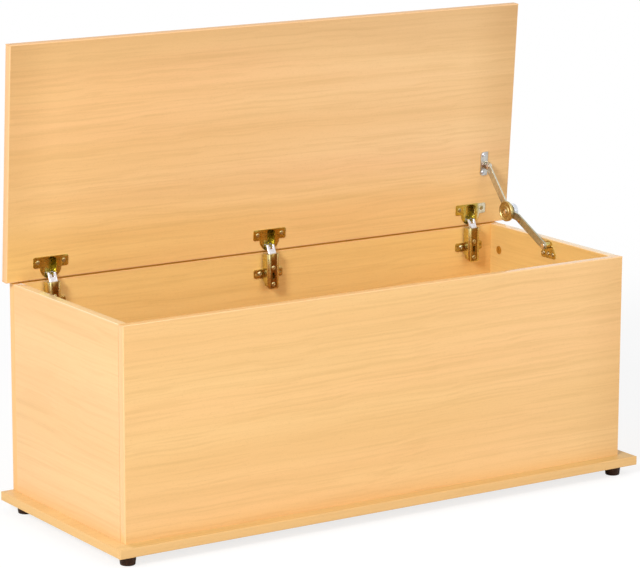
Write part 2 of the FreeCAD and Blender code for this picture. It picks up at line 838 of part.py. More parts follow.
# Hinge links, modelled where they stand with the lid open
def outer_knee():
    """Bend of the outer link, in front of the open cup's flange and level with its pin."""
    face = body_back - lid_open_inset - flange_thickness
    return (face - outer_link_knee_standoff, outer_cup_pin[1] + outer_link_knee_rise)


def inner_knee():
    """Bend of the inner link, just clear of the rim of the open cup."""
    face = body_back - lid_open_inset - flange_thickness
    return (face - inner_link_knee_standoff, body_top + lid_open_lift + inner_link_knee_height)


def make_links():
    """Outer link: a plate across the arm end of two bent cheeks. Inner link: one bent bar between them."""
    knee = outer_knee()
    half = outer_link_plate / 2
    web_end = toward(outer_pin, knee, size_of(minus(knee, outer_pin)) * outer_link_web_share)
    slip = toward(outer_cup_pin, outer_pin, outer_link_slip)
    for name, x in hinge_places_x.items():
        pieces = []
        for low, high in pair(outer_link_cheek_inner, outer_link_cheek_outer, x):
            pieces.append(disc(outer_pin, outer_link_eye_radius, low, high))
            pieces.append(lozenge(outer_pin, knee, half, low, high))
            pieces.append(lozenge(knee, outer_cup_pin, half, low, high))
            pieces.append(disc(outer_cup_pin, outer_link_tip_radius, low, high))
        pieces.append(lozenge(outer_pin, web_end, half, x - outer_link_half_width, x + outer_link_half_width))
        pieces.append(disc(outer_pin, outer_link_eye_radius, x - outer_link_half_width,
                           x + outer_link_half_width))
        reach = outer_link_half_width + overrun
        bore = link_pin_radius + running_gap
        slot = cup_pin_radius + cup_pin_space
        cuts = [disc(outer_pin, bore, x - reach, x + reach),
                lozenge(outer_cup_pin, slip, slot, x - reach, x + reach)]
        keep("hinge_outer_link_" + name, [without(joined(pieces), cuts)])
    knee = inner_knee()
    half = inner_link_plate / 2
    slip = toward(inner_cup_pin, inner_pin, inner_link_slip)
    for name, x in hinge_places_x.items():
        low, high = x - inner_link_half_width, x + inner_link_half_width
        pieces = [
            disc(inner_pin, inner_link_eye_radius, low, high), lozenge(inner_pin, knee, half, low, high),
            lozenge(knee, inner_cup_pin, half, low, high),
            disc(inner_cup_pin, inner_link_tip_radius, low, high),
        ]
        reach = inner_link_half_width + overrun
        cuts = [disc(inner_pin, link_pin_radius + running_gap, x - reach, x + reach),
                lozenge(inner_cup_pin, slip, cup_pin_radius + cup_pin_space / 2, x - reach, x + reach)]
        keep("hinge_inner_link_" + name, [without(joined(pieces), cuts)])


# Hinge arms on their plates
def plate_screw_seats(x):
    """Where the two screws of a mounting plate pass its wings."""
    level = body_top - plate_centre_drop
    face = inner_back - plate_wing_thickness
    return [FreeCAD.Vector(x + side * plate_screw_x, face, level) for side in (-1, 1)]


def hinge_plate_cuts():
    """Screw holes of the three mounting plates in the back board."""
    return [screw_bore(seat, BACK, plate_screw_radius, plate_screw_length)
            for x in hinge_places_x.values() for seat in plate_screw_seats(x)]


def arm_screw_places(x):
    """Where the adjusting screws pass the recess in the face of an arm."""
    face = inner_back - arm_standoff + arm_recess_depth
    return [FreeCAD.Vector(x, face, body_top - share * arm_length) for share in arm_screw_shares]


def rounded_channel(x, half, face, back, low, high, radius):
    """Upright block behind an arm's face, with its two front edges rounded."""
    solid = block((x - half, face, low), (x + half, back, high))
    front = [e for e in solid.Edges if abs(e.tangentAt(e.FirstParameter).z) > 0.5
             and abs(e.CenterOfMass.y - face) < glue_gap]
    return solid.makeFillet(radius, front)


def arm_tail_cuts(x, face, bottom):
    """What is cut from an arm's lower end: its sides along a slope, and both corners of its face."""
    level = bottom + arm_tail_radius
    wide = arm_half_width + overrun
    slope = [(face + arm_metal, bottom - overrun), (inner_back, bottom - overrun),
             (inner_back, level + arm_tail_rise), (face + arm_metal, level)]
    cuts = [sheet(slope, x - wide, x + wide)]
    for side in (-1, 1):
        middle = x + side * (arm_half_width - arm_tail_radius)
        ends = sorted((middle, x + side * wide))
        corner = block((ends[0], face - overrun, bottom - overrun), (ends[1], inner_back, level))
        cuts.append(corner.cut(rod(FreeCAD.Vector(middle, face - 2 * overrun, level), BACK, arm_tail_radius,
                                   arm_standoff + 4 * overrun)))
    return cuts


def make_arm(x):
    """Channel-shaped arm with round shoulders and a shallow recess down its face. Its two sides carry the
    link pins just below its open top."""
    face = inner_back - arm_standoff
    back = inner_back - arm_back_space
    top, bottom = body_top - arm_mouth_drop, body_top - arm_length
    shell = rounded_channel(x, arm_half_width, face, back, bottom, top, arm_shoulder)
    cuts = [rounded_channel(x, arm_half_width - arm_metal, face + arm_metal, back + overrun,
                            bottom - overrun, top + overrun, arm_shoulder - arm_metal)]
    cuts += arm_tail_cuts(x, face, bottom)
    cuts.append(block((x - arm_recess_half_width, face - overrun, bottom + arm_metal),
                      (x + arm_recess_half_width, face + arm_recess_depth, top + overrun)))
    slot_middle = (0, body_top - arm_slot_drop)
    reach = arm_metal + overrun
    slot_low = FreeCAD.Vector(x, face - overrun, slot_middle[1] - arm_slot_half_length)
    slot_high = FreeCAD.Vector(x, face - overrun, slot_middle[1] + arm_slot_half_length)
    cuts += [rod(slot_low, BACK, arm_slot_radius, reach), rod(slot_high, BACK, arm_slot_radius, reach)]
    cuts.append(block((x - arm_slot_radius, face - overrun, slot_low.z),
                      (x + arm_slot_radius, face - overrun + reach, slot_high.z)))
    for seat in arm_screw_places(x):
        cuts.append(rod(seat + FRONT * overrun, BACK, arm_screw_radius + glue_gap, reach))
    for pin in (outer_pin, inner_pin):
        start = at(x - arm_half_width - overrun, pin)
        cuts.append(rod(start, RIGHT, link_pin_radius + glue_gap, 2 * (arm_half_width + overrun)))
    return without(shell, cuts)


def make_plate(x):
    """Mounting plate: a block under the arm, its lower end sloped towards the board, and a wing each side with
    a screw and an open end hole."""
    level = body_top - plate_centre_drop
    block_face = inner_back - plate_block_thickness
    wing_face = inner_back - plate_wing_thickness
    core = block((x - plate_block_half_width, block_face, level - plate_block_half_height),
                 (x + plate_block_half_width, inner_back, level + plate_block_half_height))
    wings = block((x - plate_wing_half_length, wing_face, level - plate_wing_half_height),
                  (x + plate_wing_half_length, inner_back, level + plate_wing_half_height))
    corners = [e for e in wings.Edges if abs(e.tangentAt(e.FirstParameter).y) > 0.5]
    wings = wings.makeFillet(plate_wing_corner, corners)
    bottom = level - plate_block_half_height
    heel = [(inner_back - plate_heel_depth, bottom), (inner_back - plate_heel_depth, bottom - overrun),
            (inner_back + overrun, bottom - overrun), (inner_back + overrun, bottom + plate_heel_rise),
            (inner_back, bottom + plate_heel_rise)]
    cuts = [sheet(heel, x - plate_block_half_width - overrun, x + plate_block_half_width + overrun)]
    for seat in plate_screw_seats(x):
        cuts.append(rod(seat + FRONT * overrun, BACK, plate_screw_radius + glue_gap,
                        overrun + plate_wing_thickness + overrun))
    for side in (-1, 1):
        start = FreeCAD.Vector(x + side * plate_end_hole_x, wing_face - overrun, level)
        cuts.append(rod(start, BACK, plate_end_hole_radius, overrun + plate_wing_thickness + overrun))
    depth = arm_screw_depth()
    for seat in arm_screw_places(x):
        cuts.append(rod(seat, BACK, arm_screw_radius + glue_gap, depth + glue_gap))
    return without(joined([core, wings]), cuts)


def arm_screw_depth():
    """How far an adjusting screw reaches from the arm's face into the plate's block."""
    return arm_standoff - arm_recess_depth - plate_block_thickness / 2


def make_hinge_arms():
    """Arms, plates, their screws and the pins that carry the links."""
    plate_screws, arm_screws, pins = [], [], []
    for name, x in hinge_places_x.items():
        keep("hinge_arm_" + name, [make_arm(x)])
        keep("hinge_plate_" + name, [make_plate(x)])
        for seat in plate_screw_seats(x):
            plate_screws.append(pan_screw(seat, BACK, plate_screw_radius, plate_screw_length,
                                          plate_screw_head_radius, plate_screw_head_height))
        for seat in arm_screw_places(x):
            arm_screws.append(pan_screw(seat, BACK, arm_screw_radius, arm_screw_depth(),
                                        arm_screw_head_radius, arm_screw_head_height))
        for pin in (outer_pin, inner_pin):
            pins.append(rod(at(x - arm_half_width, pin), RIGHT, link_pin_radius, 2 * arm_half_width))
    keep("hinge_plate_screws", plate_screws)
    keep("hinge_arm_screws", arm_screws)
    keep("hinge_arm_pins", pins)


# Stay on the right side board
def rivet(x_low, x_high, centre, head_low, head_high):
    """Rivet across X with a head at each end that is asked for."""
    pieces = [disc(centre, stay_rivet_radius, x_low, x_high)]
    if head_low:
        pieces.append(disc(centre, stay_rivet_head_radius, x_low - stay_rivet_head_height, x_low))
    if head_high:
        pieces.append(disc(centre, stay_rivet_head_radius, x_high, x_high + stay_rivet_head_height))
    return joined(pieces)


def make_lid_bracket():
    """Bracket on the lid: a plate with two screws and an ear that the upper arm turns on."""
    right = ear_x + lid_bracket_metal
    left = right - lid_bracket_width
    y = lid_pivot_shut[0] - lid_bracket_reach
    z = lid_bottom_shut - lid_bracket_metal
    plate = block((left, y - lid_bracket_half_length, z), (right, y + lid_bracket_half_length, lid_bottom_shut))
    corners = [e for e in plate.Edges if abs(e.tangentAt(e.FirstParameter).z) > 0.5
               and abs(e.CenterOfMass.x - left) < glue_gap]
    plate = plate.makeFillet(lid_bracket_corner, corners)
    low = (lid_pivot_shut[0] - lid_bracket_ear_half_length, lid_bottom_shut)
    high = (lid_pivot_shut[0] + lid_bracket_ear_half_length, lid_bottom_shut)
    ear = [sheet([low, high, plus(lid_pivot_shut, (lid_bracket_ear_rise, 0)),
                  plus(lid_pivot_shut, (-lid_bracket_ear_rise, 0))], ear_x, right),
           disc(lid_pivot_shut, lid_bracket_ear_rise, ear_x, right)]
    cuts = [disc(lid_pivot_shut, stay_rivet_radius + glue_gap, ear_x - overrun, right + overrun)]
    for seat in lid_bracket_seats():
        cuts.append(screw_bore(seat + DOWN * overrun, UP, bracket_screw_radius, overrun + lid_bracket_metal))
    keep("stay_lid_bracket", [swing(without(joined([plate] + ear), cuts))])
    keep("stay_lid_bracket_screws", [
        swing(pan_screw(seat, UP, bracket_screw_radius, bracket_screw_length, bracket_screw_head_radius,
                        bracket_screw_head_height)) for seat in lid_bracket_seats()])
    keep("stay_lid_rivet", [swing(rivet(upper_arm_x - running_gap, right + running_gap, lid_pivot_shut,
                                        True, True))])


def side_bracket_seats():
    """Where the screws of the side bracket pass its face."""
    x = inner_side - side_bracket_metal
    level = body_top - side_bracket_screw_drop
    middle = side_pivot[0] + side_bracket_set_back
    row = [middle + share * side_bracket_half_base for share in side_bracket_screw_shares]
    return [FreeCAD.Vector(x, y, level) for y in row]


def side_bracket_cuts():
    """Screw holes of the stay's bracket in the right side board."""
    return [screw_bore(seat, RIGHT, bracket_screw_radius, bracket_screw_length)
            for seat in side_bracket_seats()]


def make_side_bracket():
    """Three-cornered bracket with a boss that the lower arm turns against."""
    top, bottom = body_top - side_bracket_top_drop, body_top - side_bracket_bottom_drop
    y = side_pivot[0] + side_bracket_set_back
    outline = [(y - side_bracket_half_base, bottom), (y + side_bracket_half_base, bottom),
               (y + side_bracket_half_base, bottom + side_bracket_shoulder), (y + side_bracket_half_top, top),
               (y - side_bracket_half_top, top), (y - side_bracket_half_base, bottom + side_bracket_shoulder)]
    plate = sheet(outline, inner_side - side_bracket_metal, inner_side)
    corners = [e for e in plate.Edges if abs(e.tangentAt(e.FirstParameter).x) > 0.5]
    plate = plate.makeFillet(side_bracket_corner, corners)
    face = lower_arm_x + stay_metal + moving_gap
    boss = disc(side_pivot, side_bracket_boss_radius, face, inner_side)
    cuts = [screw_bore(seat - RIGHT * overrun, RIGHT, bracket_screw_radius, overrun + side_bracket_metal)
            for seat in side_bracket_seats()]
    keep("stay_side_bracket", [without(joined([plate, boss]), cuts)])
    keep("stay_side_bracket_screws", [
        pan_screw(seat, RIGHT, bracket_screw_radius, bracket_screw_length, bracket_screw_head_radius,
                  bracket_screw_head_height) for seat in side_bracket_seats()])


def make_upper_arm():
    """Upper arm, the friction disc over its elbow end, and the washer and rivet of the elbow."""
    high = upper_arm_x + stay_metal
    strap = lozenge(elbow, lid_pivot, stay_half_width, upper_arm_x, high)
    cuts = [disc(lid_pivot, stay_rivet_radius + running_gap, upper_arm_x - overrun, high + overrun),
            disc(elbow, stay_rivet_radius + glue_gap, upper_arm_x - overrun, high + overrun)]
    keep("stay_upper_arm", [without(strap, cuts)])
    hub_low = disc_hub_radius
    rim = disc_radius - disc_rim_width
    deep = disc_thickness - disc_groove_depth
    profile = [
        (stay_rivet_radius + glue_gap, 0), (disc_radius, 0), (disc_radius, disc_thickness - disc_arris),
        (disc_radius - disc_arris, disc_thickness), (rim, disc_thickness), (rim - disc_groove_depth, deep),
        (hub_low + disc_hub_groove, deep), (hub_low, disc_thickness),
        (stay_rivet_radius + glue_gap, disc_thickness),
    ]
    keep("stay_friction_disc", [spun(profile, at(disc_x + disc_thickness, elbow), RIGHT * -1)])
    washer_x = high + running_gap
    washer = disc(elbow, friction_washer_radius, washer_x, washer_x + friction_washer)
    bore = disc(elbow, stay_rivet_radius + glue_gap, washer_x - overrun, washer_x + overrun)
    keep("stay_friction_washer", [without(washer, [bore])])
    keep("stay_elbow_rivet", [rivet(disc_x, knob_x + knob_thickness + running_gap, elbow, True, True)])


def lower_strap():
    """Lower arm: a strap that steps outwards from the elbow's layer to the side bracket's layer."""
    near = toward(elbow, side_pivot, joggle_start)
    far = toward(elbow, side_pivot, joggle_start + joggle_run)
    unit = minus(toward(elbow, side_pivot, 1.0), elbow)
    side = (-unit[1] * stay_half_width, unit[0] * stay_half_width)
    inside, outside = elbow_arm_x, lower_arm_x
    ring = [(inside, near), (inside + stay_metal, near), (outside + stay_metal, far), (outside, far)]
    start = [at(x, plus(p, side, -1)) for x, p in ring]
    face = Part.Face(Part.makePolygon(start + start[:1]))
    step = face.extrude(FreeCAD.Vector(0, 2 * side[0], 2 * side[1]))
    flat_near = end_strap(elbow, near, inside)
    flat_far = end_strap(side_pivot, far, outside)
    return joined([flat_near, step, flat_far])


def end_strap(round_end, square_end, x):
    """One flat of the lower arm: round about its pivot, square where the step begins."""
    unit = minus(toward(round_end, square_end, 1.0), round_end)
    side = (-unit[1] * stay_half_width, unit[0] * stay_half_width)
    strap = sheet([plus(round_end, side), plus(square_end, side), plus(square_end, side, -1),
                   plus(round_end, side, -1)], x, x + stay_metal)
    return strap.fuse(disc(round_end, stay_half_width, x, x + stay_metal))


def make_lower_arm():
    """Lower arm with the friction knob, the rivet of its side pivot and its stop rivet."""
    far_x = lower_arm_x + stay_metal
    cuts = [disc(elbow, stay_rivet_radius + running_gap, elbow_arm_x - overrun, elbow_arm_x + stay_metal),
            disc(side_pivot, stay_rivet_radius + glue_gap, lower_arm_x - overrun, far_x + overrun)]
    place = toward(elbow, side_pivot, stop_rivet_place)
    unit = minus(toward(elbow, side_pivot, 1.0), elbow)
    place = plus(place, (-unit[1], unit[0]), stop_rivet_offset)
    cuts.append(disc(place, stop_rivet_radius + glue_gap, lower_arm_x - overrun, far_x + overrun))
    keep("stay_lower_arm", [without(lower_strap(), cuts)])
    stop = [disc(place, stop_rivet_radius, lower_arm_x, far_x),
            disc(place, stop_rivet_head_radius, lower_arm_x - stop_rivet_head_height, lower_arm_x)]
    keep("stay_stop_rivet", [joined(stop)])
    profile = [
        (stay_rivet_radius + running_gap, 0), (knob_radius, 0), (knob_radius, knob_thickness - knob_arris),
        (knob_radius - knob_arris, knob_thickness), (stay_rivet_radius + running_gap, knob_thickness),
    ]
    flutes = []
    for k in range(knob_flutes):
        rim = knob_radius - knob_flute_sink + knob_flute_radius
        spot = plus(elbow, turned((rim, 0), ALL_ROUND * k / knob_flutes))
        flutes.append(disc(spot, knob_flute_radius, knob_x - overrun, knob_x + knob_thickness + overrun))
    keep("stay_friction_knob", [without(spun(profile, at(knob_x, elbow), RIGHT), flutes)])
    keep("stay_side_rivet", [rivet(lower_arm_x, far_x, side_pivot, True, False)])


def build():
    """Makes every node."""
    make_feet()
    make_base()
    make_box_boards(make_corner_fittings())
    make_lid()
    make_cups()
    make_links()
    make_hinge_arms()
    make_lid_bracket()
    make_side_bracket()
    make_upper_arm()
    make_lower_arm()


def write():
    """Writes one STEP file per node."""
    os.makedirs("parts", exist_ok=True)
    for name, solids in parts.items():
        shape = solids[0] if len(solids) == 1 else Part.makeCompound(solids)
        shape.exportStep(os.path.join("parts", name + ".step"))


def motion():
    """Places of the joints at rest, and how far each turns while the lid shuts."""
    return {
        "pole": pole, "outer_pin": outer_pin, "inner_pin": inner_pin, "lid_pivot": lid_pivot,
        "elbow": elbow, "side_pivot": side_pivot, "lid_turn": lid_open_angle,
        "outer_link_turn": outer_link_turn, "inner_link_turn": inner_link_turn,
        "upper_turn_on_lid": upper_turn - lid_open_angle, "lower_turn_on_upper": lower_turn - upper_turn,
        "body_top": body_top, "outer_cup_pin": outer_cup_pin, "inner_cup_pin": inner_cup_pin,
        "elbow_shut": elbow_shut, "nodes": len(parts),
    }


build()
write()
print("MOTION", json.dumps(motion()))
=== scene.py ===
"""Looks of a beech-effect storage box with its lid open. Metres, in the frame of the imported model: X runs
along the box, Y to its back and Z up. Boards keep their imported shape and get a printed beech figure. Edge
bands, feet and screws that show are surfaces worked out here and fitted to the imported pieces. The hinges and
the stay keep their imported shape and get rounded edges."""
import json
import math

import bmesh
import bpy
import numpy as np
from mathutils import Matrix, Vector


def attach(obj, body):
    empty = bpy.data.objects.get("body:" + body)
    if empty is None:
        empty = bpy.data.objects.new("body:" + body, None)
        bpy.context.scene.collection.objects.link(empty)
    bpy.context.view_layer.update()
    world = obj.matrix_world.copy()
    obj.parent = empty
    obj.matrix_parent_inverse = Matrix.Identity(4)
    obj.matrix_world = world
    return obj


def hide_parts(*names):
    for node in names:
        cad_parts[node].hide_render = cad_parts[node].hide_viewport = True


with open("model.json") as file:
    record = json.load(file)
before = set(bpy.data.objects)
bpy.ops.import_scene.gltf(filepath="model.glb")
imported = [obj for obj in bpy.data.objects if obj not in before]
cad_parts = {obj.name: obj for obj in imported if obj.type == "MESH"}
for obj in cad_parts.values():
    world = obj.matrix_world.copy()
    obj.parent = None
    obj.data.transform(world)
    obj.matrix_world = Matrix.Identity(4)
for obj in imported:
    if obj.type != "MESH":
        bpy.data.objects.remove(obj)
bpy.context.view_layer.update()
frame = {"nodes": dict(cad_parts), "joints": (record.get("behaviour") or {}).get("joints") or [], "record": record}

MM = 0.001
WHICH = ("left", "middle", "right")
RIGHT = np.array([1.0, 0.0, 0.0])
BACK = np.array([0.0, 1.0, 0.0])
UP = np.array([0.0, 0.0, 1.0])
JOINTS = {joint["name"]: joint for joint in frame["joints"]}
SLOT_OF = {entry["node"]: entry["material_slot"] for entry in frame["record"]["subparts"]}
BODY_OF = {node: body for body, nodes in frame["record"]["behaviour"]["bodies"].items() for node in nodes}


def lid_axes():
    """Rows: along the lid, up its open face from the hinges, and out of its inner face."""
    turn = math.radians(JOINTS["lid_hinge"]["range_deg"][1])
    up = np.array([0.0, -math.cos(turn), math.sin(turn)])
    out = np.array([0.0, -math.sin(turn), -math.cos(turn)])
    return np.array([RIGHT, up, out])


LID = lid_axes()


def points_of(mesh):
    """All points of a mesh."""
    points = np.empty(len(mesh.vertices) * 3, np.float32)
    mesh.vertices.foreach_get("co", points)
    return points.reshape(-1, 3).astype(float)


def levels_of(node, way):
    """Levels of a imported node's points along a direction."""
    return points_of(frame["nodes"][node].data) @ way


def middle_of(node, way):
    """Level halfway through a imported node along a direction."""
    levels = levels_of(node, way)
    return (levels.min() + levels.max()) / 2


# Camera of the photograph, in metres and degrees
PICTURE_WIDTH = 640
FOCAL_PIXELS = 3127.3
SENSOR = 36.0
CAMERA_PLACE = (-2.7413, -4.1523, 1.4329)
CAMERA_AZIMUTH = -33.313
CAMERA_ELEVATION = 12.246
CAMERA_ROLL = 0.185
CAMERA_CLIP = (0.1, 200.0)


def linear(red, green, blue):
    """Colour of a shader socket from the red, green and blue that a screen shows, 0 to 255."""
    shares = np.array([red, green, blue]) / 255
    low = shares / 12.92
    high = ((shares + 0.055) / 1.055) ** 2.4
    return (*np.where(shares <= 0.04045, low, high).tolist(), 1.0)


# Node trees
class Graph:
    """Adds nodes to a tree and wires or sets their inputs."""

    def __init__(self, tree):
        self.tree = tree

    def add(self, kind, inputs=None, **settings):
        """New node with settings; inputs maps a socket's name or number to a socket or a value."""
        node = self.tree.nodes.new("ShaderNode" + kind)
        for key, value in settings.items():
            setattr(node, key, value)
        for key, source in (inputs or {}).items():
            self.wire(node.inputs[key], source)
        return node

    def wire(self, socket, source):
        """Links a socket to an output, or gives it a value."""
        if isinstance(source, bpy.types.NodeSocket):
            self.tree.links.new(source, socket)
        else:
            socket.default_value = source

    def math(self, operation, first, second=0.0, third=0.0):
        """One sum, product or comparison of values."""
        return self.add("Math", {0: first, 1: second, 2: third}, operation=operation).outputs[0]

    def stretched(self, vector, scales, offset=(0.0, 0.0, 0.0)):
        """Coordinates times a scale for each axis, after an offset."""
        mapping = self.add("Mapping", {"Vector": vector, "Location": offset, "Scale": scales})
        return mapping.outputs["Vector"]

    def noise(self, vector, detail, roughness):
        """Soft noise between 0 and 1."""
        sockets = {"Vector": vector, "Scale": 1.0, "Detail": detail, "Roughness": roughness}
        return self.add("TexNoise", sockets, noise_dimensions="3D").outputs["Fac"]

    def ramp(self, value, low, high, out_low=0.0, out_high=1.0):
        """Value taken from one range to another with soft ends."""
        sockets = {"Value": value, "From Min": low, "From Max": high, "To Min": out_low, "To Max": out_high}
        return self.add("MapRange", sockets, interpolation_type="SMOOTHSTEP").outputs["Result"]

    def blend(self, share, first, second, way="MIX"):
        """Two colours blended."""
        node = self.add("Mix", data_type="RGBA", blend_type=way)
        for key, source in ((0, share), (6, first), (7, second)):
            self.wire(node.inputs[key], source)
        return node.outputs[2]


def emptied(owner):
    """Graph of a material's or a world's own tree, with nothing in it yet."""
    owner.use_nodes = True
    owner.node_tree.nodes.clear()
    return Graph(owner.node_tree)


def node_group(name, inputs, outputs, fill):
    """Shader node group. Inputs and outputs map names to kinds, and fill returns the outputs' sockets."""
    tree = bpy.data.node_groups.new(name, "ShaderNodeTree")
    for side, sockets in (("INPUT", inputs), ("OUTPUT", outputs)):
        for label, kind in sockets.items():
            tree.interface.new_socket(label, in_out=side, socket_type="NodeSocket" + kind)
    entry = tree.nodes.new("NodeGroupInput")
    leave = tree.nodes.new("NodeGroupOutput")
    for label, socket in fill(Graph(tree), entry.outputs).items():
        tree.links.new(socket, leave.inputs[label])
    return tree


# Beech figure. Each kind of mark: waves to a metre along the grain and across it, finer detail and its
# strength, and the place in the noise.
GRAIN = {
    "slow bend": (0.8, 2.2, 1.0, 0.5, (0.0, 0.0, 0.0)),
    "quick bend": (7.0, 13.0, 2.0, 0.45, (0.0, 0.0, 0.0)),
    "tone": (0.45, 15.0, 2.0, 0.5, (0.0, 0.0, 0.0)),
    "blush": (1.2, 7.0, 2.0, 0.5, (3.0, 1.0, 2.0)),
    "growth": (0.30, 5.0, 1.0, 0.4, (7.0, 4.0, 1.0)),
    "calm": (1.6, 7.0, 1.0, 0.5, (1.0, 9.0, 5.0)),
    "streak": (1.1, 62.0, 2.0, 0.6, (5.0, 2.0, 3.0)),
    "thread": (3.0, 210.0, 2.0, 0.6, (0.0, 0.0, 0.0)),
    "fibre": (24.0, 1100.0, 2.0, 0.6, (0.0, 0.0, 0.0)),
    "fleck": (220.0, 2600.0, 0.0, 0.5, (2.0, 5.0, 8.0)),
}
SLOW_BEND = 0.055
QUICK_BEND = 0.011
LINE_RISE = (0.3, 0.9)
LINE_FALL = (0.9, 1.0)
CALM_SPAN = (0.35, 0.68)
TONE_SPAN = (0.3, 0.72)
BLUSH_SPAN = (0.42, 0.68)
BLUSH_WEIGHT = 0.6
LINE_WEIGHT = 0.15
STREAK_SPAN, STREAK_WEIGHT = (0.45, 0.75), 0.22
THREAD_SPAN, THREAD_WEIGHT = (0.42, 0.74), 0.40
FIBRE_SPAN, FIBRE_WEIGHT = (0.4, 0.85), 0.15
FLECK_SPAN, FLECK_WEIGHT = (0.68, 0.78), 0.22
FIBRE_HEIGHT, FLECK_HEIGHT = 0.6, 0.4
SHEEN_WAVES, SHEEN_DETAIL, SHEEN_STRENGTH = (9.0, 9.0, 9.0), 3.0, 0.6
SHEEN_SPAN = (0.25, 0.75)
MELAMINE_ROUGHNESS = (0.40, 0.50)
FIBRE_ROUGHNESS = 0.05


def fill_beech(graph, inputs):
    """Printed beech: faint broad bands, long streaks of three widths, growth lines that are contours of a
    very long noise, and short flecks. All run along X of the grain's own coordinates and bend together."""
    vector = inputs["Vector"]

    def mark(kind, place):
        """Noise of one kind of mark at some coordinates."""
        along, across, detail, strength, start = GRAIN[kind]
        return graph.noise(graph.stretched(place, (along, across, across), start), detail, strength)

    quick = graph.math("MULTIPLY", mark("quick bend", vector), QUICK_BEND)
    shift = graph.math("MULTIPLY_ADD", mark("slow bend", vector), SLOW_BEND, quick)
    offset = graph.add("CombineXYZ", {"X": 0.0, "Y": shift, "Z": shift}).outputs[0]
    bent = graph.add("VectorMath", {0: vector, 1: offset}, operation="ADD").outputs[0]

    tooth = graph.math("FRACT", graph.math("MULTIPLY", mark("growth", bent), inputs["Growth lines"]))
    lines = graph.math("MULTIPLY", graph.ramp(tooth, *LINE_RISE), graph.ramp(tooth, *LINE_FALL, 1.0, 0.0))
    lines = graph.math("MULTIPLY", lines, graph.ramp(mark("calm", vector), *CALM_SPAN))
    fibre = mark("fibre", bent)
    fleck = graph.ramp(mark("fleck", bent), *FLECK_SPAN)

    contrast = inputs["Contrast"]
    share = graph.math("MULTIPLY", graph.ramp(mark("tone", bent), *TONE_SPAN), contrast)
    colour = graph.blend(share, inputs["Light"], inputs["Dark"])
    share = graph.math("MULTIPLY", graph.ramp(mark("blush", bent), *BLUSH_SPAN, 0.0, BLUSH_WEIGHT), contrast)
    colour = graph.blend(share, colour, inputs["Blush"])
    darker = ((lines, (0.0, 1.0), LINE_WEIGHT), (mark("streak", bent), STREAK_SPAN, STREAK_WEIGHT),
              (mark("thread", bent), THREAD_SPAN, THREAD_WEIGHT), (fibre, FIBRE_SPAN, FIBRE_WEIGHT))
    for value, span, weight in darker:
        share = graph.math("MULTIPLY", graph.ramp(value, *span, 0.0, weight), contrast)
        colour = graph.blend(share, colour, inputs["Line"])
    share = graph.math("MULTIPLY", fleck, graph.math("MULTIPLY", contrast, FLECK_WEIGHT))
    colour = graph.blend(share, colour, inputs["Fleck"])

    raised, sunk = graph.math("MULTIPLY", fibre, FIBRE_HEIGHT), graph.math("MULTIPLY", fleck, FLECK_HEIGHT)
    sheen = graph.noise(graph.stretched(vector, SHEEN_WAVES), SHEEN_DETAIL, SHEEN_STRENGTH)
    rough = graph.ramp(sheen, *SHEEN_SPAN, *MELAMINE_ROUGHNESS)
    rough = graph.math("MULTIPLY_ADD", fibre, FIBRE_ROUGHNESS, rough)
    return {"Color": colour, "Height": graph.math("SUBTRACT", raised, sunk), "Roughness": rough}


BEECH = node_group(
    "beech_figure",
    {"Vector": "Vector", "Light": "Color", "Dark": "Color", "Blush": "Color", "Line": "Color",
     "Fleck": "Color", "Contrast": "Float", "Growth lines": "Float"},
    {"Color": "Color", "Height": "Float", "Roughness": "Float"},
    fill_beech,
)


# Handled surface. Each kind of mark: waves to a metre along the axes, finer detail and its strength.
WEAR = {
    "cloud": ((180.0, 180.0, 180.0), 3.0, 0.6),
    "scratch": ((90.0, 2600.0, 700.0), 2.0, 0.6),
    "crumb": ((2200.0, 2200.0, 2200.0), 1.0, 0.5),
}
CLOUD_SPAN, CLOUD_SHARE, SCRATCH_SHARE = (0.3, 0.7), 0.6, 0.4
TARNISH_SPAN = (0.35, 0.75)
SCRATCH_HEIGHT = 0.5


def fill_handled(graph, inputs):
    """Handled metal or plastic: cloudy smudges in the gloss, fine scratches one way and a soft grain."""
    cloud, scratch, crumb = (graph.noise(graph.stretched(inputs["Vector"], waves), detail, strength)
                             for waves, detail, strength in WEAR.values())
    scuffs = graph.math("MULTIPLY", scratch, SCRATCH_SHARE)
    spread = graph.math("MULTIPLY_ADD", graph.ramp(cloud, *CLOUD_SPAN), CLOUD_SHARE, scuffs)
    rough = graph.math("MULTIPLY_ADD", spread, inputs["Spread"], inputs["Roughness"])
    colour = graph.blend(graph.ramp(cloud, *TARNISH_SPAN), inputs["Color"], inputs["Tarnish"])
    grain = graph.math("MULTIPLY", crumb, inputs["Grain"])
    height = graph.math("MULTIPLY_ADD", scratch, SCRATCH_HEIGHT, grain)
    return {"Color": colour, "Roughness": rough, "Height": height}


HANDLED = node_group(
    "handled_surface",
    {"Vector": "Vector", "Color": "Color", "Tarnish": "Color", "Roughness": "Float", "Spread": "Float",
     "Grain": "Float"},
    {"Color": "Color", "Roughness": "Float", "Height": "Float"},
    fill_handled,
)


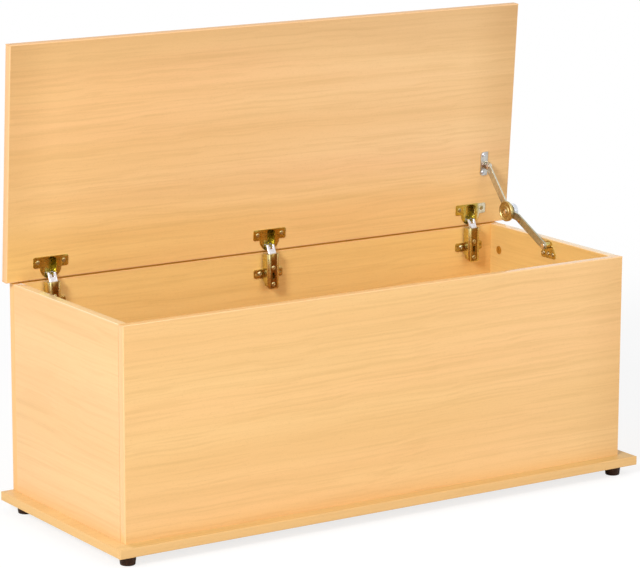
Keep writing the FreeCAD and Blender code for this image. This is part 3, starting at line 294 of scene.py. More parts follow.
# Palettes and makers of materials
PLAIN = (1.0, 1.0, 1.0)
BOARD_COLOURS = {
    "Light": linear(246, 203, 136), "Dark": linear(240, 194, 126), "Blush": linear(247, 197, 133),
    "Line": linear(222, 175, 108), "Fleck": linear(190, 138, 82),
}
BAND_COLOURS = {
    "Light": linear(252, 205, 145), "Dark": linear(246, 195, 132), "Blush": linear(250, 198, 138),
    "Line": linear(230, 178, 117), "Fleck": linear(190, 138, 82),
}
BAND_CONTRAST = 0.8
BAND_GROWTH = 9.0
GLUE_COLOUR, GLUE_SHADE = linear(196, 138, 84), 0.75
# Painted warm shade for the band's top where it lies in the seam under the lid
SEAM_SHADE_TINT, SHUT_IN_EDGE = linear(255, 212, 100), 0.3 * MM
BOARD_BUMP = (0.35, 0.06 * MM)
BAND_BUMP = (0.25, 0.05 * MM)
METAL_BUMP = (0.15, 0.02 * MM)
PLASTIC_BUMP = (0.25, 0.05 * MM)


def toned(colours, tone):
    """Palette with each colour's red, green and blue times a share."""
    return {name: tuple(np.append(np.array(colour[:3]) * tone, 1.0)) for name, colour in colours.items()}


def new_material(name):
    """Material with an empty tree, its graph and its Principled shader, wired to the output."""
    material = bpy.data.materials.new(name)
    graph = emptied(material)
    shader = graph.add("BsdfPrincipled")
    graph.add("OutputMaterial", {"Surface": shader.outputs[0]})
    return material, graph, shader


def bumped(graph, shader, height, strength, distance):
    """Wires a height through a bump to the shader's normal."""
    bump = graph.add("Bump", {"Height": height, "Strength": strength, "Distance": distance})
    graph.wire(shader.inputs["Normal"], bump.outputs["Normal"])


def with_painted_light(graph, place, colour, painted_light_washes):
    """Colour times the tints of some washes, which paint light and shade onto the surface by place. A wash is a
    direction, the level along it where the wash begins, the level where it is full, and its tint. Place is the
    object coordinates."""
    for way, begins, full, tint in painted_light_washes:
        level = graph.add("VectorMath", {0: place, 1: tuple(way)}, operation="DOT_PRODUCT").outputs["Value"]
        colour = graph.blend(graph.ramp(level, begins, full), colour, (*tint, 1.0), "MULTIPLY")
    return colour


def outer_half_painted_light(node, way, tint):
    """Wash for the outer half of a board, from its middle outwards: its tint paints the outer face's light apart
    from the inner face's.
    """
    middle = middle_of(node, way)
    return way, middle - MM, middle + MM, tint


def beech_board(name, tone, start, turn=0.0, contrast=1.0, growth=22.0, painted_light_washes=()):
    """Melamine face: the beech figure on object coordinates, turned about Z so that it runs with the board. Start
    is the board's place in the figure. On the boards of the box the tone is painted light and shade for that face,
    and the washes paint its gradients of light and shade."""
    material, graph, shader = new_material(name)
    place = graph.add("TexCoord").outputs["Object"]
    sockets = {"Vector": place, "Location": start, "Rotation": (0.0, 0.0, turn)}
    vector = graph.add("Mapping", sockets).outputs["Vector"]
    sockets = {"Vector": vector, "Contrast": contrast, "Growth lines": growth, **toned(BOARD_COLOURS, tone)}
    figure = graph.add("Group", sockets, node_tree=BEECH)
    graph.wire(shader.inputs["Base Color"], with_painted_light(graph, place, figure.outputs["Color"], painted_light_washes))
    graph.wire(shader.inputs["Roughness"], figure.outputs["Roughness"])
    bumped(graph, shader, figure.outputs["Height"], *BOARD_BUMP)
    return material


def beech_band(name, tone, gloss=0.12, dullness=1.0, shut_in=None, painted_light_washes=()):
    """Edge band on its own UV map: U along the strip in metres, V across it. A fine glue line shows where the band
    meets the board. Gloss is its specular level, dullness a share of the figure's roughness, and shut_in the
    height above which the band lies in the seam under the lid, where it takes a painted warm shade colour and no
    gloss. The tones of the box's bands paint their light and shade, and the washes paint gradients of it."""
    material, graph, shader = new_material(name)
    strip = graph.add("UVMap", uv_map="strip").outputs["UV"]
    place = graph.add("TexCoord").outputs["Object"]
    sockets = {"Vector": strip, "Contrast": BAND_CONTRAST, "Growth lines": BAND_GROWTH,
               **toned(BAND_COLOURS, tone)}
    figure = graph.add("Group", sockets, node_tree=BEECH)
    seam = graph.add("Attribute", attribute_name="seam", attribute_type="GEOMETRY").outputs["Fac"]
    colour = graph.blend(graph.math("MULTIPLY", seam, GLUE_SHADE), figure.outputs["Color"], GLUE_COLOUR)
    # Painted warm shade, and no gloss, where the band lies in the seam under the lid
    if shut_in is not None:
        level = graph.add("SeparateXYZ", {0: place}).outputs["Z"]
        flat = graph.ramp(level, shut_in, shut_in + SHUT_IN_EDGE)
        colour = graph.blend(flat, colour, SEAM_SHADE_TINT)
        gloss = graph.ramp(flat, 0.0, 1.0, gloss, 0.0)
    graph.wire(shader.inputs["Base Color"], with_painted_light(graph, place, colour, painted_light_washes))
    graph.wire(shader.inputs["Roughness"], graph.math("MULTIPLY", figure.outputs["Roughness"], dullness))
    graph.wire(shader.inputs["Specular IOR Level"], gloss)
    bumped(graph, shader, figure.outputs["Height"], *BAND_BUMP)
    return material


def handled_material(name, colour, tarnish, roughness, spread=0.16, metallic=1.0, grain=0.5, bump=METAL_BUMP,
                     glint=PLAIN, recess=None, painted_light_washes=()):
    """Metal or plastic that has been handled, on object coordinates. Its colours are those that a screen shows.
    Glint is the tint of the highlights, recess the colour of painted shade on the faces marked as a recess, and
    the washes paint light or reflection by place."""
    material, graph, shader = new_material(name)
    place = graph.add("TexCoord").outputs["Object"]
    sockets = {"Vector": place, "Color": linear(*colour), "Tarnish": linear(*tarnish),
               "Roughness": roughness, "Spread": spread, "Grain": grain}
    surface = graph.add("Group", sockets, node_tree=HANDLED)
    shown = surface.outputs["Color"]
    # The recess floor takes a painted shade colour.
    if recess is not None:
        recess_shade_mask = graph.add("Attribute", attribute_name="recess", attribute_type="GEOMETRY").outputs["Fac"]
        shown = graph.blend(recess_shade_mask, shown, linear(*recess))
    graph.wire(shader.inputs["Base Color"], with_painted_light(graph, place, shown, painted_light_washes))
    graph.wire(shader.inputs["Roughness"], surface.outputs["Roughness"])
    shader.inputs["Metallic"].default_value = metallic
    shader.inputs["Specular Tint"].default_value = (*glint, 1.0)
    bumped(graph, shader, surface.outputs["Height"], *bump)
    return material


# Levels at which a wash of painted light or shade begins and is full, measured from the box's middle or from the
# floor
RIGHT_END = (0.38, 0.495)
LEFT_END = (0.40, 0.495)
FRONT_DRIFT = (0.0, 0.35)
LID_DRIFT = (-0.45, 0.35)
LID_RISE = (0.42, 0.76)
LID_RIM = (0.66, 0.76)
LID_FOOT = (-0.52, -0.405)
BODY_END = levels_of("left_side_panel", -RIGHT).max()
LEFT_LEDGE_LIGHT = (BODY_END - 8 * MM, BODY_END + 4 * MM)
BASE_END = levels_of("base_panel", -RIGHT).max()
LEFT_RIM_LIGHT = (BASE_END - 1.5 * MM, BASE_END + 0.5 * MM)
SEAM_LEVEL = levels_of("back_panel_edge_bands", UP).max() - 0.4 * MM
RIGHT_HINGE = middle_of("hinge_cup_right", RIGHT)
# Where the right hinge's right wing gets a painted white reflection
RIGHT_WING_REFLECTION = (RIGHT_HINGE + 12 * MM, RIGHT_HINGE + 20 * MM)

QUARTER = math.pi / 2
# Painted shade at the right ends of the boards. The lid's painted light and shade: a drift along it, darker ends,
# darker towards its top and its rim, a warmer painted bounce low down, and a tint on its outer face.
RIGHT_SHADE = (RIGHT, *RIGHT_END, (0.92, 0.89, 0.85))
LID_PAINTED_LIGHT = (
    (RIGHT, *LID_DRIFT, (1.03, 1.09, 1.26)),
    (RIGHT, *RIGHT_END, (0.87, 0.83, 0.77)),
    (-RIGHT, *LEFT_END, (0.89, 0.86, 0.81)),
    (UP, *LID_RISE, (0.90, 0.87, 0.83)),
    (UP, *LID_RIM, (0.91, 0.895, 0.885)),
    (-UP, *LID_FOOT, (1.03, 1.02, 0.83)),
    outer_half_painted_light("lid_panel", -LID[2], (1.0, 0.94, 0.93)),
)
CUP_COLOURS = ((213, 200, 109), (182, 164, 77))
CUP_NICKEL = handled_material("cup_nickel", *CUP_COLOURS, 0.17)
# The arms' recess colour is painted shade in the pressed channel.
ARM_NICKEL = handled_material("arm_nickel", (222, 211, 150), (195, 177, 112), 0.17, recess=(146, 116, 60))
SCREW_NICKEL = handled_material("screw_nickel", (194, 178, 128), (164, 144, 92), 0.24)
KNOB_NICKEL = handled_material("knob_nickel", (226, 231, 238), (206, 210, 218), 0.20, 0.14)

# Finishes of the slots
SLOT_LOOKS = {
    "edge_band": beech_band("beech_edge_band", PLAIN),
    "dowel_wood": beech_board("plain_beech", (0.9, 0.9, 0.9), (0.0, 0.0, 0.0), contrast=0.6, growth=60.0),
    "nickel": handled_material("nickel_plate", (203, 187, 121), (174, 153, 86), 0.17),
    "bright_nickel": handled_material("bright_nickel", (232, 226, 226), (210, 202, 198), 0.09, 0.12),
    "zinc": handled_material("zinc_plate", (206, 198, 170), (176, 160, 122), 0.22, 0.18),
    "brass": handled_material("brass_rivet", (226, 178, 96), (196, 140, 66), 0.2, 0.15),
    "foot_plastic": handled_material("black_plastic", (36, 20, 12), (52, 31, 20), 0.28, 0.22, metallic=0.0,
                                     grain=1.0, bump=PLASTIC_BUMP, glint=(0.8, 0.5, 0.38)),
}

# Finishes of single nodes. The boards and the bands are one beech print; their different tones are painted light
# and shade for each face, and the washes paint gradients of it.
NODE_LOOKS = {
    # The base is painted darker as shade, and its left end and the left end of its band are painted lighter where
    # the light falls.
    "base_panel": beech_board("beech_base", (0.815, 0.855, 0.79), (0.4, 0.3, 0.1), painted_light_washes=(
        RIGHT_SHADE, (-RIGHT, *LEFT_LEDGE_LIGHT, (1.20, 1.22, 1.41)))),
    "front_panel": beech_board("beech_front", (0.93, 0.90, 0.89), (0.0, 2.0, 0.13), painted_light_washes=(
        RIGHT_SHADE, (RIGHT, *FRONT_DRIFT, (1.02, 1.035, 1.08)))),
    "back_panel": beech_board("beech_back", (1.05, 1.07, 0.92), (5.0, 3.1, 0.7), painted_light_washes=(
        outer_half_painted_light("back_panel", BACK, (1.05, 0.90, 1.0)),)),
    "left_side_panel": beech_board("beech_left_side", (1.03, 1.01, 1.15), (1.7, 6.0, 0.4), -QUARTER, 0.8),
    "right_side_panel": beech_board("beech_right_side", (0.93, 1.0, 0.88), (4.2, 8.0, 0.9), -QUARTER, 0.8,
                                    painted_light_washes=(outer_half_painted_light("right_side_panel", RIGHT, (1.13, 0.94, 1.08)),)),
    "lid_panel": beech_board("beech_lid", (1.02, 1.00, 1.03), (2.3, 9.0, 0.35), painted_light_washes=LID_PAINTED_LIGHT),
    # The bands' tones paint their light and shade: darker on the base, and much paler on the side bands' top edges
    # as a painted highlight.
    "base_edge_bands": beech_band("beech_base_band", (0.82, 0.85, 0.81), painted_light_washes=(
        (-RIGHT, *LEFT_RIM_LIGHT, (1.10, 1.12, 1.14)),)),
    "lid_edge_bands": beech_band("beech_lid_band", (0.96, 0.965, 1.10)),
    "front_panel_edge_bands": beech_band("beech_front_band", (1.02, 1.03, 1.03), gloss=0.9, dullness=0.3),
    "side_panel_edge_bands": beech_band("beech_side_band", (1.02, 1.24, 1.60), gloss=0.9, dullness=0.3),
    "back_panel_edge_bands": beech_band("beech_back_band", PLAIN, shut_in=SEAM_LEVEL),
    "hinge_cup_left": CUP_NICKEL,
    "hinge_cup_middle": CUP_NICKEL,
    # The right hinge's cup is the same nickel, with a painted white reflection on its right wing.
    "hinge_cup_right": handled_material("bright_wing", *CUP_COLOURS, 0.17, painted_light_washes=(
        (RIGHT, *RIGHT_WING_REFLECTION, (1.38, 1.42, 4.0)),)),
    **{"hinge_arm_" + which: ARM_NICKEL for which in WHICH},
    "hinge_cup_screws": SCREW_NICKEL,
    "hinge_arm_screws": SCREW_NICKEL,
    "stay_upper_arm": handled_material("stay_nickel", (207, 203, 184), (187, 180, 158), 0.30, 0.14, 0.86),
    # The lower arm is the same nickel as the upper one, painted darker as shade.
    "stay_lower_arm": handled_material("lower_arm_nickel_painted_shade", (183, 180, 156), (166, 160, 134), 0.30, 0.14,
                                       0.86),
    "stay_lid_bracket": handled_material("lid_bracket_nickel", (222, 218, 210), (196, 190, 180), 0.16),
    "stay_lid_bracket_screws": KNOB_NICKEL,
    "stay_friction_knob": KNOB_NICKEL,
    "stay_friction_disc": handled_material("disc_nickel", (202, 184, 128), (176, 152, 98), 0.34),
    "cam_locks": handled_material("cam_zinc", (222, 179, 76), (192, 146, 56), 0.40, 0.18, 0.8),
}


def look_of(node):
    """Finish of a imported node: its own, or else its slot's."""
    return NODE_LOOKS[node] if node in NODE_LOOKS else SLOT_LOOKS[SLOT_OF[node]]


# Meshes. Directions count as the same when their product is above ALIKE.
WELD = 0.001 * MM
SMOOTH_ANGLE = math.radians(32)
ALIKE = 0.9


def finished(mesh, name, node):
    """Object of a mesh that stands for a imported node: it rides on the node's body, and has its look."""
    piece = bpy.data.objects.new(name, mesh)
    bpy.context.scene.collection.objects.link(piece)
    mesh.materials.clear()
    mesh.materials.append(look_of(node))
    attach(piece, BODY_OF[node])
    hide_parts(node)
    return piece


def grid_faces(rows, columns, start):
    """Corner numbers of the quads of a grid whose points start at a number."""
    index = np.arange(rows * columns).reshape(rows, columns) + start
    corners = [index[:-1, :-1], index[1:, :-1], index[1:, 1:], index[:-1, 1:]]
    return np.stack(corners, -1).reshape(-1, 4)


def surfaces(name, solids, fields=None):
    """Mesh of several solids, each a list of grids of points, rows by columns by 3. Within a solid, points
    that meet are merged, so that seams and poles close, and the faces point outwards. Fields hold one or
    two values for each point, and become corner values or a UV map."""
    faces, ends, start = [], [], 0
    for solid in solids:
        for grid in solid:
            faces.append(grid_faces(grid.shape[0], grid.shape[1], start))
            start += grid.shape[0] * grid.shape[1]
        ends.append(start)
    points = np.concatenate([grid.reshape(-1, 3) for solid in solids for grid in solid])
    mesh = bpy.data.meshes.new(name)
    mesh.from_pydata(points.tolist(), [], np.concatenate(faces).tolist())
    corners = np.empty(len(mesh.loops), np.int32)
    mesh.loops.foreach_get("vertex_index", corners)
    for label, values in (fields or {}).items():
        values = np.asarray(values, np.float32)[corners]
        if values.ndim == 2:
            mesh.uv_layers.new(name=label).data.foreach_set("uv", values.ravel())
        else:
            mesh.attributes.new(label, "FLOAT", "CORNER").data.foreach_set("value", values)
    work = bmesh.new()
    work.from_mesh(mesh)
    work.verts.ensure_lookup_table()
    groups = [work.verts[low:high] for low, high in zip([0, *ends[:-1]], ends)]
    for group in groups:
        bmesh.ops.remove_doubles(work, verts=group, dist=WELD)
    bmesh.ops.dissolve_degenerate(work, edges=work.edges, dist=WELD)
    bmesh.ops.recalc_face_normals(work, faces=work.faces)
    work.to_mesh(mesh)
    work.free()
    mesh.polygons.foreach_set("use_smooth", np.ones(len(mesh.polygons), bool))
    mesh.set_sharp_from_angle(angle=SMOOTH_ANGLE)
    return mesh


def basis(out):
    """Rows are two directions across and one along a direction."""
    out = np.asarray(out, float) / np.linalg.norm(out)
    side = BACK if abs(out @ RIGHT) > ALIKE else RIGHT
    across = side - out * (side @ out)
    across /= np.linalg.norm(across)
    return np.array([across, np.cross(out, across), out])


def arc(centre, radius, start, end, steps):
    """Points of an arc in a plane, from one angle to another in degrees: centre + radius (cos, sin)."""
    turn = np.radians(np.linspace(start, end, steps))
    return np.stack([centre[0] + radius * np.cos(turn), centre[1] + radius * np.sin(turn)], -1)


def lathed(profile, centre, segments, ripple):
    """Surface of revolution about an upright axis. A profile point (r, h) and a turn t give
    centre + (s cos t, s sin t, h), where s is r + ripple(t, r, h)."""
    turn = np.linspace(0, 2 * math.pi, segments + 1)[:, None]
    radius, height = np.asarray(profile, float).T[:, None]
    radius = radius + ripple(turn, radius, height)
    height = np.broadcast_to(height, radius.shape)
    return centre + np.stack([radius * np.cos(turn), radius * np.sin(turn), height], -1)


def merged(node, flatness=None):
    """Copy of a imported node's mesh with its triangles joined, and also its flat faces within an angle."""
    mesh = frame["nodes"][node].data.copy()
    work = bmesh.new()
    work.from_mesh(mesh)
    bmesh.ops.remove_doubles(work, verts=work.verts, dist=WELD)
    if flatness is not None:
        bmesh.ops.dissolve_limit(work, angle_limit=flatness, verts=work.verts, edges=work.edges)
    work.to_mesh(mesh)
    work.free()
    return mesh


def islands(node):
    """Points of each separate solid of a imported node. Merged points share their lowest label along edges
    until nothing changes."""
    mesh = merged(node)
    points = points_of(mesh)
    ends = np.empty(len(mesh.edges) * 2, np.int32)
    mesh.edges.foreach_get("vertices", ends)
    bpy.data.meshes.remove(mesh)
    first, second = ends.reshape(-1, 2).T
    label = np.arange(len(points))
    while True:
        lowest = np.minimum(label[first], label[second])
        new = label.copy()
        np.minimum.at(new, first, lowest)
        np.minimum.at(new, second, lowest)
        new = new[new]
        if (new == label).all():
            break
        label = new
    return [points[label == value] for value in np.unique(label)]


# Edge bands
ARRIS = 1.2 * MM
BAND_THICKNESS = 1.5 * MM
ARC_STEPS = 6
GLUE_LINE = 0.12 * MM
ON_LEVEL = 0.01 * MM
BAND_NODES = ("base_edge_bands", "front_panel_edge_bands", "back_panel_edge_bands", "side_panel_edge_bands")


def band_profile(half):
    """Closed outline of a band's cross-section, (across, out): flush sides, two arcs and the glued face."""
    root, rim = half - ARRIS, BAND_THICKNESS - ARRIS
    right = arc((root, rim), ARRIS, 0, 90, ARC_STEPS)
    left = arc((-root, rim), ARRIS, 90, 180, ARC_STEPS)
    foot = np.array([[half, 0.0], [half, GLUE_LINE]])
    mirror = foot[::-1] * [-1, 1]
    return np.concatenate([foot, right, left, mirror, foot[:1]])


def band_mesh(name, strips):
    """Edge bands, each a profile carried along a straight run: start + across side + out rise + along run.
    Both ends are closed by pulling the profile in to its middle. UV holds metres along and across."""
    solids, places, seams = [], [], []
    on_ring = np.array([0.0, 1.0, 1.0, 0.0])[:, None]
    for start, along, outward, length, half in strips:
        profile = band_profile(half)
        across = np.cross(along, outward)
        ring = start + profile[:, :1] * across + profile[:, 1:] * outward
        middle = np.broadcast_to(start + outward * BAND_THICKNESS / 2, ring.shape)
        solids.append([np.stack([middle, ring, ring + along * length, middle + along * length])])
        run = np.array([0.0, 0.0, length, length])[:, None] + np.zeros(len(ring)) + start.sum()
        side = profile[:, 0] * on_ring + start[2]
        places.append(np.stack([run, side], -1).reshape(-1, 2))
        seams.append(((profile[:, 1] < GLUE_LINE / 2) * on_ring).ravel())
    return surfaces(name, solids, {"strip": np.concatenate(places), "seam": np.concatenate(seams)})


def strip_of(points, along):
    """Start, direction, outward direction, length and half width of a band from its packed points: it is
    thinnest outwards, and its arrises are on its outer side."""
    low, high = points.min(0), points.max(0)
    middle = (low + high) / 2
    others = [axis for axis in np.eye(3) if abs(axis @ along) < ALIKE]
    sizes = [(high - low) @ axis for axis in others]
    out = others[int(np.argmin(sizes))]
    half = max(sizes) / 2
    wide = others[int(np.argmax(sizes))]
    rim = np.abs((points - middle) @ wide) > half - ON_LEVEL
    way = -np.sign(((points - middle) @ out)[rim].mean())
    length = (high - low) @ np.abs(along)
    start = middle - along * length / 2 - out * way * min(sizes) / 2
    return start, along, out * way, length, half


def longest_axis(points):
    """Axis along which the points reach furthest."""
    return np.eye(3)[int(np.argmax(points.max(0) - points.min(0)))]


def dress_bands():
    """Every edge band, with its rounded arrises, on its board."""
    for node in BAND_NODES:
        strips = [strip_of(points, longest_axis(points)) for points in islands(node)]
        mesh = band_mesh(node.replace("bands", "banding"), strips)
        finished(mesh, mesh.name, node)
    strips = []
    for points in islands("lid_edge_bands"):
        flat = points @ LID.T
        start, along, out, length, half = strip_of(flat, longest_axis(flat))
        strips.append((start @ LID, along @ LID, out @ LID, length, half))
    mesh = band_mesh("lid_edge_banding", strips)
    finished(mesh, mesh.name, "lid_edge_bands")


# Feet. The arcs hold their first and last angle in degrees and their number of points.
FOOT_SEGMENTS = 144
FOOT_RIBS = 18
FOOT_RIB_DEPTH = 0.22 * MM
FOOT_RIB_LEVELS = np.array([3.4, 5.6, 13.7, 15.2]) * MM
FOOT_RIB_RADIUS = 9 * MM
NEAR = 0.1 * MM
RADIUS_DIGITS = 5
RECESS_EDGE = 0.3 * MM
RECESS_CHAMFER = 0.4 * MM
SOLE_ROUNDING, SOLE_INSET, SOLE_ARC = 1.6 * MM, 0.6 * MM, (-90, -8, 7)
WAIST_FOOT = (0.25 * MM, 3.6 * MM)
WAIST_TOP = (0.35 * MM, 3.2 * MM)
WAIST_STEPS = 14
GROOVE = ((0.75 * MM, 2.0 * MM), (0.7 * MM, 1.5 * MM))
LIP_ROUNDING, LIP_DROP, LIP_ARC = 0.5 * MM, 0.7 * MM, (-70, 70, 7)
FLANGE_CHAMFER = 0.6 * MM


def foot_ripple(turn, radius, height):
    """Shallow upright flutes between the foot's flange and its ring: a cosine that fades at both."""
    rise = np.interp(height, FOOT_RIB_LEVELS, (0, 1, 1, 0))
    return -FOOT_RIB_DEPTH * (1 + np.cos(FOOT_RIBS * turn)) / 2 * rise * (radius > FOOT_RIB_RADIUS)


def foot_profile(bore, recess, depth, sole, top, height):
    """Closed outline of a foot, (r, h): down the bore, out along the recess for the screw, round the sole and
    up the sloping waist to the groove and the lip of the flange."""
    rounding = arc((sole - SOLE_INSET, SOLE_ROUNDING), SOLE_ROUNDING, *SOLE_ARC)
    waist = np.linspace((rounding[-1][0] + WAIST_FOOT[0], WAIST_FOOT[1]),
                        (top - WAIST_TOP[0], height - WAIST_TOP[1]), WAIST_STEPS)
    groove = [(top - inset, height - drop) for inset, drop in GROOVE]
    lip = arc((top - LIP_ROUNDING, height - LIP_DROP), LIP_ROUNDING, *LIP_ARC)
    return [(bore, height), (bore, depth), (recess - RECESS_EDGE, depth), (recess, depth - RECESS_EDGE),
            (recess, RECESS_CHAMFER), (recess + RECESS_CHAMFER, 0.0), *rounding, *waist, *groove, *lip,
            (top - FLANGE_CHAMFER, height), (bore, height)]


def dress_feet():
    """Moulded feet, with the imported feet's bore, recess, sole and flange."""
    for node in [name for name, slot in SLOT_OF.items() if slot == "foot_plastic"]:
        points = points_of(frame["nodes"][node].data)
        low, high = points.min(0), points.max(0)
        middle = (low + high) / 2
        reach = np.hypot(points[:, 0] - middle[0], points[:, 1] - middle[1])
        level = points[:, 2] - low[2]
        recess = np.unique(reach.round(RADIUS_DIGITS))[1]
        depth = level[(reach < recess + NEAR) & (level > MM)].min()
        sole = reach[level < NEAR].max()
        profile = foot_profile(reach.min(), recess, depth, sole, (high[0] - low[0]) / 2, high[2] - low[2])
        ring = lathed(profile, (middle[0], middle[1], low[2]), FOOT_SEGMENTS, foot_ripple)
        mesh = surfaces(node + "_moulded", [[ring]])
        finished(mesh, mesh.name, node)


# Screws. The head's numbers are shares of its radius and of its height.
SCREW_SEGMENTS = 72
CROWN_STEPS = 22
CROWN_REACH = 0.96
CROWN_DROP, CROWN_POWER = 0.55, 2.4
CROSS_REACH, CROSS_END = 0.62, 0.16
CROSS_WIDTH, CROSS_WALL = 0.17, 0.05
CROSS_DEPTH, CROSS_SLOPE = 0.6, 0.35
HEAD_SIDE = ((0.985, 0.36), (1.0, 0.24), (1.0, 0.08), (0.97, 0.0))
HEAD_RIM = 0.98
BELOW_HEAD = 0.5 * MM


def screw_grid(points, out):
    """Closed pan-headed screw on a packed screw's axis. The crown's height at (r, t) is a dome less a cross:
    the depth fades over the arms' width, |x| or |y|, and towards their ends."""
    axes = basis(out)
    across, rise = points @ axes[:2].T, points @ axes[2]
    middle = (across.min(0) + across.max(0)) / 2
    away = np.hypot(*(across - middle).T)
    head = away.max()
    under = rise[away > head * HEAD_RIM].min()
    shank = away[rise < under - BELOW_HEAD].max()
    tall, tip = rise.max() - under, rise.min() - under
    turn = np.linspace(0, 2 * math.pi, SCREW_SEGMENTS + 1)[:, None]
    share = np.linspace(0, 1, CROWN_STEPS)[None, :] + np.zeros_like(turn)
    crown = share * head * CROWN_REACH
    x, y = np.abs(crown * np.cos(turn)), np.abs(crown * np.sin(turn))
    slim, wide = np.minimum(x, y) / head, np.maximum(x, y) / head
    cross = np.clip((CROSS_WIDTH - slim) / CROSS_WALL, 0, 1) * np.clip((CROSS_REACH - wide) / CROSS_END, 0, 1)
    dome = 1 - CROWN_DROP * share**CROWN_POWER - CROSS_DEPTH * cross * (1 - CROSS_SLOPE * wide)
    side = [(head * r, tall * h) for r, h in HEAD_SIDE] + [(shank, 0.0), (shank, tip + shank), (0.0, tip)]
    rim, drop = np.array(side).T[:, None] + np.zeros_like(turn)
    radius = np.concatenate([crown, rim], 1)
    height = np.concatenate([dome * tall, drop], 1)
    local = np.stack([radius * np.cos(turn), radius * np.sin(turn), height], -1)
    return (local + [*middle, under]) @ axes


def dress_screws():
    """Screws that show: on the plates, the arms, the cups, the stay's brackets and the feet."""
    facing = {"hinge_plate_screws": -BACK, "hinge_arm_screws": -BACK, "hinge_cup_screws": LID[2],
              "stay_lid_bracket_screws": LID[2], "stay_side_bracket_screws": -RIGHT, "foot_screws": -UP}
    for node, out in facing.items():
        mesh = surfaces(node + "_crossed", [[screw_grid(points, out)] for points in islands(node)])
        finished(mesh, mesh.name, node)


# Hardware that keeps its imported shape, with rounded edges: their width in millimetres, and their steps
HINGE_EDGES = {"hinge_arm_": (0.3, 3), "hinge_plate_": (0.4, 3), "hinge_cup_": (0.3, 3),
               "hinge_outer_link_": (0.3, 2), "hinge_inner_link_": (0.25, 2)}
STAY_EDGES = {"stay_upper_arm": (0.9, 3), "stay_lower_arm": (0.9, 3), "stay_lid_bracket": (0.4, 3),
              "stay_side_bracket": (0.4, 3), "stay_elbow_rivet": (0.4, 3), "stay_lid_rivet": (0.4, 3),
              "stay_side_rivet": (0.4, 3), "stay_stop_rivet": (0.3, 3), "stay_friction_disc": (0.2, 3),
              "stay_friction_knob": (0.3, 3)}
FLAT_ANGLE = math.radians(0.6)
EDGE_ANGLE = math.radians(28)
RECESS_LEVELS = (0.3 * MM, 0.8 * MM)


def softened(node, width, steps):
    """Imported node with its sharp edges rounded: merged, flat faces joined, then bevelled."""
    mesh = merged(node, FLAT_ANGLE)
    mesh.polygons.foreach_set("use_smooth", np.ones(len(mesh.polygons), bool))
    piece = finished(mesh, node + "_rounded", node)
    bevel = piece.modifiers.new("rounded edges", "BEVEL")
    bevel.width = width
    bevel.segments = steps
    bevel.limit_method = "ANGLE"
    bevel.angle_limit = EDGE_ANGLE
    bevel.harden_normals = True
    return piece


def mark_recess(mesh):
    """Marks the floor of an arm's shallow recess: faces to the front that lie just behind the arm's face. The
    arm's material paints shade on it.
    """
    count = len(mesh.polygons)
    middles, normals = np.empty(count * 3, np.float32), np.empty(count * 3, np.float32)
    mesh.polygons.foreach_get("center", middles)
    mesh.polygons.foreach_get("normal", normals)
    behind = middles[1::3] - points_of(mesh)[:, 1].min()
    floor = (normals[1::3] < -ALIKE) & (behind > RECESS_LEVELS[0]) & (behind < RECESS_LEVELS[1])
    mesh.attributes.new("recess", "FLOAT", "FACE").data.foreach_set("value", floor.astype(np.float32))


def dress_hardware():
    """Pressed and turned pieces of the hinges and the stay."""
    hinges = {part + which: edge for which in WHICH for part, edge in HINGE_EDGES.items()}
    for node, (width, steps) in {**hinges, **STAY_EDGES}.items():
        piece = softened(node, width * MM, steps)
        if node.startswith("hinge_arm_"):
            mark_recess(piece.data)


def dress_packed():
    """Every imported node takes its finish."""
    for node, thing in frame["nodes"].items():
        thing.data.materials.clear()
        thing.data.materials.append(look_of(node))


# Studio
WHITE = (1.0, 1.0, 1.0, 1.0)
FLOOR_COLOUR = linear(240, 240, 240)
FLOOR_FAINT = (0.28, 0.28, 0.28, 1.0)
FLOOR_GLOW = 0.77
FLOOR_FADE = (0.9, 2.4)
FLOOR_SEGMENTS = 96
FLOOR_RINGS = (0.0, 1.0, 4.0, 16.0, 60.0)
AMBIENT_TINT, AMBIENT = (0.96, 0.98, 1.0, 1.0), 0.46
SOFTBOXES = {
    "key": {"place": (-5.7, -3.3, 3.95), "size": 1.6, "power": 372.0},
    "front": {"place": (0.8, -4.2, 1.9), "size": 2.4, "power": 43.0},
    "top": {"place": (0.3, -0.9, 3.2), "size": 2.2, "power": 8.0},
}
AIM = Vector((0.0, 0.0, 0.32))


def floor_material():
    """Pale floor that keeps the box's shadow. The camera sees it a little lighter than it lights the box, and
    wholly white away from the box. From below it isn't seen."""
    material = bpy.data.materials.new("studio_floor")
    graph = emptied(material)
    pale = graph.add("BsdfDiffuse", {"Color": FLOOR_COLOUR})
    faint = graph.add("BsdfDiffuse", {"Color": FLOOR_FAINT})
    glow = graph.add("Emission", {"Color": WHITE, "Strength": FLOOR_GLOW})
    near = graph.add("AddShader", {0: faint.outputs[0], 1: glow.outputs[0]})
    white = graph.add("Emission", {"Color": WHITE, "Strength": 1.0})
    place = graph.add("TexCoord").outputs["Object"]
    away = graph.add("VectorMath", {0: place}, operation="LENGTH").outputs["Value"]
    far = graph.ramp(away, *FLOOR_FADE)
    look = graph.add("MixShader", {0: far, 1: near.outputs[0], 2: white.outputs[0]})
    seen = graph.add("LightPath").outputs["Is Camera Ray"]
    top = graph.add("MixShader", {0: seen, 1: pale.outputs[0], 2: look.outputs[0]})
    clear = graph.add("BsdfTransparent")
    under = graph.add("NewGeometry").outputs["Backfacing"]
    mixed = graph.add("MixShader", {0: under, 1: top.outputs[0], 2: clear.outputs[0]})
    graph.add("OutputMaterial", {"Surface": mixed.outputs[0]})
    return material


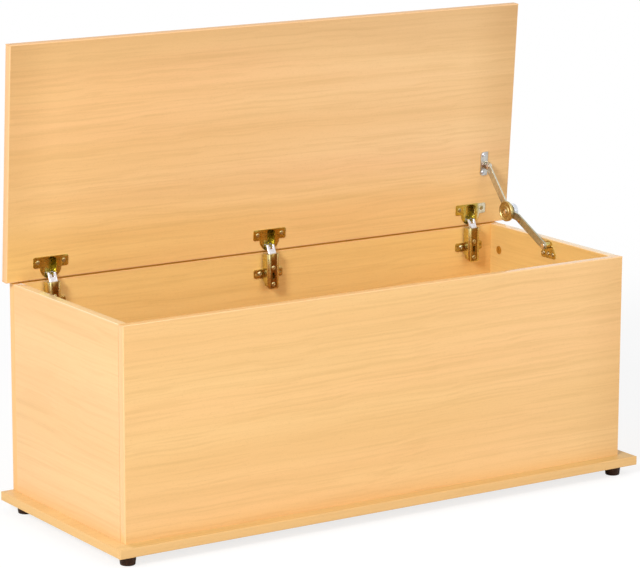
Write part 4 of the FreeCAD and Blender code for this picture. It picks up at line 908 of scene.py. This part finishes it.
def make_floor():
    """Round floor, a grid of rings about the box: r (cos t, sin t)."""
    turn = np.linspace(0, 2 * math.pi, FLOOR_SEGMENTS + 1)[:, None]
    radius = np.array(FLOOR_RINGS)[None, :]
    points = np.stack([radius * np.cos(turn), radius * np.sin(turn), np.zeros_like(radius * turn)], -1)
    mesh = surfaces("studio_floor", [[points]])
    if mesh.polygons[0].normal.z < 0:
        mesh.flip_normals()
    floor = bpy.data.objects.new("studio_floor", mesh)
    bpy.context.scene.collection.objects.link(floor)
    mesh.materials.append(floor_material())


def make_world():
    """Soft grey surroundings that light the box, and white where the camera or a reflection sees them."""
    world = bpy.data.worlds.new("studio")
    bpy.context.scene.world = world
    graph = emptied(world)
    path = graph.add("LightPath")
    seen = graph.math("MAXIMUM", path.outputs["Is Camera Ray"], path.outputs["Is Glossy Ray"])
    seen = graph.math("MAXIMUM", seen, path.outputs["Is Transmission Ray"])
    soft = graph.add("Background", {"Color": AMBIENT_TINT, "Strength": AMBIENT})
    white = graph.add("Background", {"Color": WHITE, "Strength": 1.0})
    mixed = graph.add("MixShader", {0: seen, 1: soft.outputs[0], 2: white.outputs[0]})
    graph.add("OutputWorld", {"Surface": mixed.outputs[0]})


def make_softboxes():
    """Square softboxes round the box, all turned towards its middle."""
    for name, facts in SOFTBOXES.items():
        lamp = bpy.data.lights.new(name + "_softbox", "AREA")
        lamp.shape = "SQUARE"
        lamp.size = facts["size"]
        lamp.energy = facts["power"]
        thing = bpy.data.objects.new(lamp.name, lamp)
        thing.location = facts["place"]
        thing.rotation_euler = (AIM - thing.location).to_track_quat("-Z", "Y").to_euler()
        bpy.context.scene.collection.objects.link(thing)


def make_camera():
    """Camera at the photograph's place and turn, with its long lens and no shift."""
    azimuth, elevation = math.radians(CAMERA_AZIMUTH), math.radians(CAMERA_ELEVATION)
    back = Vector((math.sin(azimuth) * math.cos(elevation), -math.cos(azimuth) * math.cos(elevation),
                   math.sin(elevation)))
    right = Vector((math.cos(azimuth), math.sin(azimuth), 0.0))
    up = back.cross(right)
    roll = math.radians(CAMERA_ROLL)
    right, up = right * math.cos(roll) + up * math.sin(roll), up * math.cos(roll) - right * math.sin(roll)
    lens = bpy.data.cameras.new("photo_camera")
    lens.sensor_width = SENSOR
    lens.lens = FOCAL_PIXELS / PICTURE_WIDTH * SENSOR
    lens.clip_start, lens.clip_end = CAMERA_CLIP
    camera = bpy.data.objects.new("photo_camera", lens)
    turn = Matrix((right, up, back)).transposed().to_4x4()
    camera.matrix_world = Matrix.Translation(CAMERA_PLACE) @ turn
    bpy.context.scene.collection.objects.link(camera)
    bpy.context.scene.camera = camera


make_camera()
dress_bands()
dress_feet()
dress_hardware()
dress_screws()
dress_packed()
make_floor()
make_world()
make_softboxes()
bpy.context.scene.view_settings.view_transform = "Standard"
